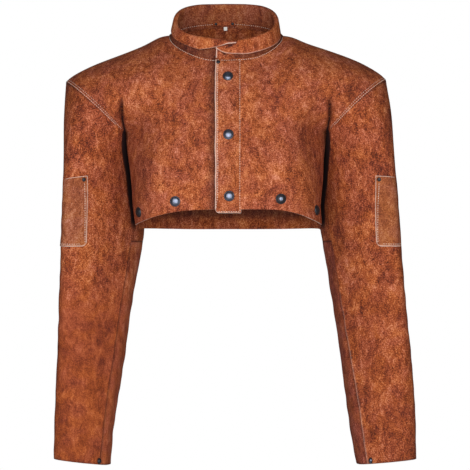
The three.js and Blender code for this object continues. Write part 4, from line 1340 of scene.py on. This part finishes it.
STITCH_ROWS += [(f"{name}_patch_stitches", patch, PANEL_FACE, edge, depth, span)
                for name, patch in PATCHES.items() for edge, depth, span in PATCH_ROWS]
LAP_ROWS = [(LAP_FACE, 2.6), (LAP_FACE - 0.3, 6.4)]
STITCH_ROWS += [(f"{name}_stitches", skin, height, "right", depth, WHOLE)
                for name, skin in LAPS.items() for height, depth in LAP_ROWS]


def resample(line, places):
    """Points of a line at given places, where the line has one row for each of its own places."""
    own, values = line
    return np.stack([np.interp(places, own, values[:, k]) for k in range(3)], axis=-1)


def stitch_row(bm, points, normals):
    """Adds one row of stitches along the points, at even steps, and says how many they are."""
    steps = np.linalg.norm(np.diff(points, axis=0), axis=-1)
    own = np.concatenate([[0], np.cumsum(steps)])
    line = (own, points)
    places = np.arange(STITCH["pitch"] / 2, own[-1], STITCH["pitch"])
    spots = resample(line, places)
    ahead = resample(line, places + STITCH["probe"]) - resample(line, places - STITCH["probe"])
    for spot, along, up in zip(spots, ahead, resample((own, normals), places)):
        along = Vector(along).normalized()
        over = along.cross(Vector(up)).normalized()
        axes = Matrix((along * STITCH["length"] / 2, over * STITCH["radius"],
                       along.cross(over) * STITCH["radius"])).transposed().to_4x4()
        place = Matrix.Diagonal((MM, MM, MM, 1)) @ Matrix.Translation(Vector(spot)) @ axes
        bmesh.ops.create_uvsphere(bm, matrix=place, **SPHERE)
    return len(spots)


def sew(group):
    """All the rows of one group as one piece."""
    bm = bmesh.new()
    count = 0
    for name, skin, height, edge, depth, span in STITCH_ROWS:
        if name == group:
            points, normals = skin.at(*skin.inset(edge, depth, span))
            count += stitch_row(bm, points + normals * height, normals)
    bmesh.ops.recalc_face_normals(bm, faces=bm.faces[:])
    finish_piece(object_from(group, bm, [THREAD]))
    return count


for group in dict.fromkeys(row[0] for row in STITCH_ROWS):
    print(group, sew(group), "stitches")

# %% [markdown]
# ## Snaps and rivets
# Every fastener is turned: a profile of radius and height is spun once round its axis. A snap cap
# is a flat rim with a dome on it. Where a snap has its socket behind the same leather, the profile
# goes on through the hide. Rivets are small domes. A snap is bright metal up to a radius; beyond it,
# or all over where that radius is 0, a darker and rougher metal is painted shade that keeps
# reflections off it. Some lean to the front or to the side. Spots on the body are x and z, spots on
# sleeves and strips are u and v.

# %% Fasteners
SPIN_STEPS = 32
DOME_STEPS = 9
MERGE_DISTANCE = 0.001 * MM
SNAP = {"rim": 8.3, "rim_height": 1.2, "dome": 7.0, "dome_height": 2.9, "post": 2.7, "socket": 5.8,
        "socket_depth": 4.6, "bright": 7.3}
# The rim's rounding: how far in from the rim, and the share of its height.
SNAP_EDGE = [(0.3, 0), (0, 0.4), (0.3, 0.85), (0.9, 1)]
RIVET = {"radius": 3.3, "height": 1.5, "post": 1.2}
PLACKET_SNAPS = [(3.4, -70.8), (4.1, -163), (5.3, -259.3)]
# Each hem snap has a skin, x, z, a lean to the front and a bright radius, beyond which it is painted dark.
HEM_SNAPS = [
    (right_front, -136, -284, -0.25, 0.0), (right_front, -79, -267.5, 0, SNAP["bright"]),
    (left_front, 86, -263.5, 0, 2.6), (left_front, 142, -281, -0.25, 0.0),
]
CUFF_DOWN = 0.985
CUFF_SCALE = 0.62
# Each cuff snap has a sleeve, u, a lean to the side and a bright radius, beyond which it is painted dark.
CUFFS = [("right", 132 / 360, 1.8, 0.0), ("left", 126 / 360, -1.8, SNAP["bright"] * CUFF_SCALE)]
PLACKET_RIVET = (-12, -48)
PATCH_RIVET = (0.86, 0.05)
NECK_RIVET_SCALE = 0.75
HANGER_RIVETS = [(0.125, 0.5), (0.875, 0.5)]


def dome_rows(radius, low, height):
    angles = np.linspace(0, math.pi / 2, DOME_STEPS)
    return [(radius * math.cos(a), low + height * math.sin(a)) for a in angles]


def cap_profile(through):
    """Radius and height along a snap cap, with its post and socket where it goes through the hide."""
    rim, step = SNAP["rim"], SNAP["rim_height"]
    behind = [(0, 0)]
    if through:
        face = -THICK - SNAP["socket_depth"]
        behind = [(0, face), (SNAP["socket"], face), (SNAP["socket"], -THICK), (SNAP["post"], -THICK),
                  (SNAP["post"], 0)]
    edge = [(rim - inwards, step * share) for inwards, share in SNAP_EDGE]
    return behind + edge + dome_rows(SNAP["dome"], step, SNAP["dome_height"])


def rivet_profile():
    return [(0, -THICK), (RIVET["post"], -THICK), (RIVET["post"], 0),
            *dome_rows(RIVET["radius"], 0, RIVET["height"])]


def scaled(profile, scale):
    return [(radius * scale, height) for radius, height in profile]


def turned(name, profile, spot, node, bright=0.0, lean=(0, 0, 0)):
    """A profile spun round the normal of its spot, or round a leant one. It is bright up to a radius, and
    beyond it the darker metal paints shade.
    """
    point, normal = (np.ravel(part) for part in spot)
    bm = bmesh.new()
    verts = [bm.verts.new((radius * MM, 0, height * MM)) for radius, height in profile]
    edges = [bm.edges.new(pair) for pair in zip(verts, verts[1:])]
    bmesh.ops.spin(bm, geom=verts + edges, cent=(0, 0, 0), axis=(0, 0, 1), angle=2 * math.pi,
                   steps=SPIN_STEPS, use_merge=True)
    bmesh.ops.remove_doubles(bm, verts=bm.verts[:], dist=MERGE_DISTANCE)
    bmesh.ops.recalc_face_normals(bm, faces=bm.faces[:])
    for face in bm.faces:
        # Faces beyond the bright radius take the darker metal: painted shade that keeps reflections off.
        face.material_index = int(face.calc_center_median().xy.length > bright * MM)
    turn = (Vector(normal) + Vector(lean)).to_track_quat("Z", "Y").to_matrix().to_4x4()
    seat = Vector((point + normal * PANEL_FACE) * MM)
    bmesh.ops.transform(bm, matrix=Matrix.Translation(seat) @ turn, verts=bm.verts[:])
    return finish_piece(object_from(name, bm, [SNAP_BLACK, RIVET_METAL_AND_SNAP_SHADE]), [node])


sewn = len(PIECES)
for number, (x, z) in enumerate(PLACKET_SNAPS, 1):
    turned(f"placket_cap_{number}", cap_profile(False), placket.at(*placket.find(x, z)),
           f"snap_cap_{number}", SNAP["bright"])
    stud = bpy.data.objects[f"snap_stud_{number}"]
    stud.data.materials.clear()
    stud.data.materials.append(SNAP_BLACK)
for number, (skin, x, z, lean, bright) in enumerate(HEM_SNAPS, 1):
    turned(f"hem_cap_{number}", cap_profile(True), skin.at(*skin.find(x, z)), f"hem_snap_{number}",
           bright, (0, lean, 0))
for name, u, lean, bright in CUFFS:
    cuff = SLEEVES[name]["upper"].at(u, CUFF_DOWN)
    turned(f"{name}_cuff_cap", scaled(cap_profile(False), CUFF_SCALE), cuff, f"cuff_snap_{name}",
           bright, (lean, 0, 0))
    turned(f"{name}_patch_rivet", rivet_profile(), PATCHES[name].at(*PATCH_RIVET), f"rivet_patch_{name}")
turned("placket_top_rivet", rivet_profile(), placket.at(*placket.find(*PLACKET_RIVET)), "rivet_placket")
for number, place in enumerate(HANGER_RIVETS, 1):
    turned(f"neck_rivet_{number}", scaled(rivet_profile(), NECK_RIVET_SCALE), hanger.at(*place),
           f"rivet_hanger_{number}")
print("fasteners", [piece.name for piece in PIECES[sewn:]])

# %% [markdown]
# ## The sheets
# Every hide was cut flat before it was sewn.

# %% [markdown]
# ## Floor and light
# The photograph has a white ground and broad light from the front. The world is white for the
# camera and a soft grey for everything else, so that the leather darkens where it turns away. A
# pale floor lies out of sight under the cuffs and gives the snaps something bright to mirror.

# %% Stage
FLOOR = {"half_width": 1.5, "place": (0, -0.4, -0.86)}
# Each light has a name, a place, a size and a power.
LIGHTS = [
    ("key", (-0.6, -2.4, 0.0), 1.9, 35),
    ("fill", (0.55, -2.4, -0.15), 1.9, 33),
    ("top", (0.0, -0.4, 1.9), 1.6, 1),
]
AIM = (0, 0, -0.25)
SKY_FOR_LIGHT = 0.14


def add_floor():
    bm = bmesh.new()
    bmesh.ops.create_grid(bm, x_segments=1, y_segments=1, size=FLOOR["half_width"])
    pale = grained(
        "floor_pale", {"scale": 3.0, "detail": 2.0, "roughness": 0.5},
        low=(0.3, (0.86, 0.86, 0.87)), high=(0.7, (0.9, 0.9, 0.9)), rough=0.9,
    )
    floor = object_from("floor", bm, [pale])
    floor.location = FLOOR["place"]


def add_lights():
    for name, place, size, power in LIGHTS:
        lamp = bpy.data.lights.new(name, "AREA")
        lamp.size = size
        lamp.energy = power
        holder = bpy.data.objects.new(name, lamp)
        holder.location = place
        aim = Vector(AIM) - Vector(place)
        holder.rotation_euler = aim.to_track_quat("-Z", "Y").to_euler()
        bpy.context.scene.collection.objects.link(holder)


def add_sky():
    world = bpy.data.worlds.new("sky")
    world.use_nodes = True
    nodes, links = world.node_tree.nodes, world.node_tree.links
    shown = nodes["Background"]
    shown.inputs["Color"].default_value = (1, 1, 1, 1)
    soft = nodes.new("ShaderNodeBackground")
    soft.inputs["Strength"].default_value = SKY_FOR_LIGHT
    chooser = nodes.new("ShaderNodeMixShader")
    links.new(nodes.new("ShaderNodeLightPath").outputs["Is Camera Ray"], chooser.inputs[0])
    links.new(soft.outputs[0], chooser.inputs[1])
    links.new(shown.outputs[0], chooser.inputs[2])
    links.new(chooser.outputs[0], nodes["World Output"].inputs["Surface"])
    bpy.context.scene.world = world


add_floor()
add_lights()
add_sky()
bpy.context.scene.view_settings.view_transform = "Standard"
print("lights", [name for name, *_ in LIGHTS])
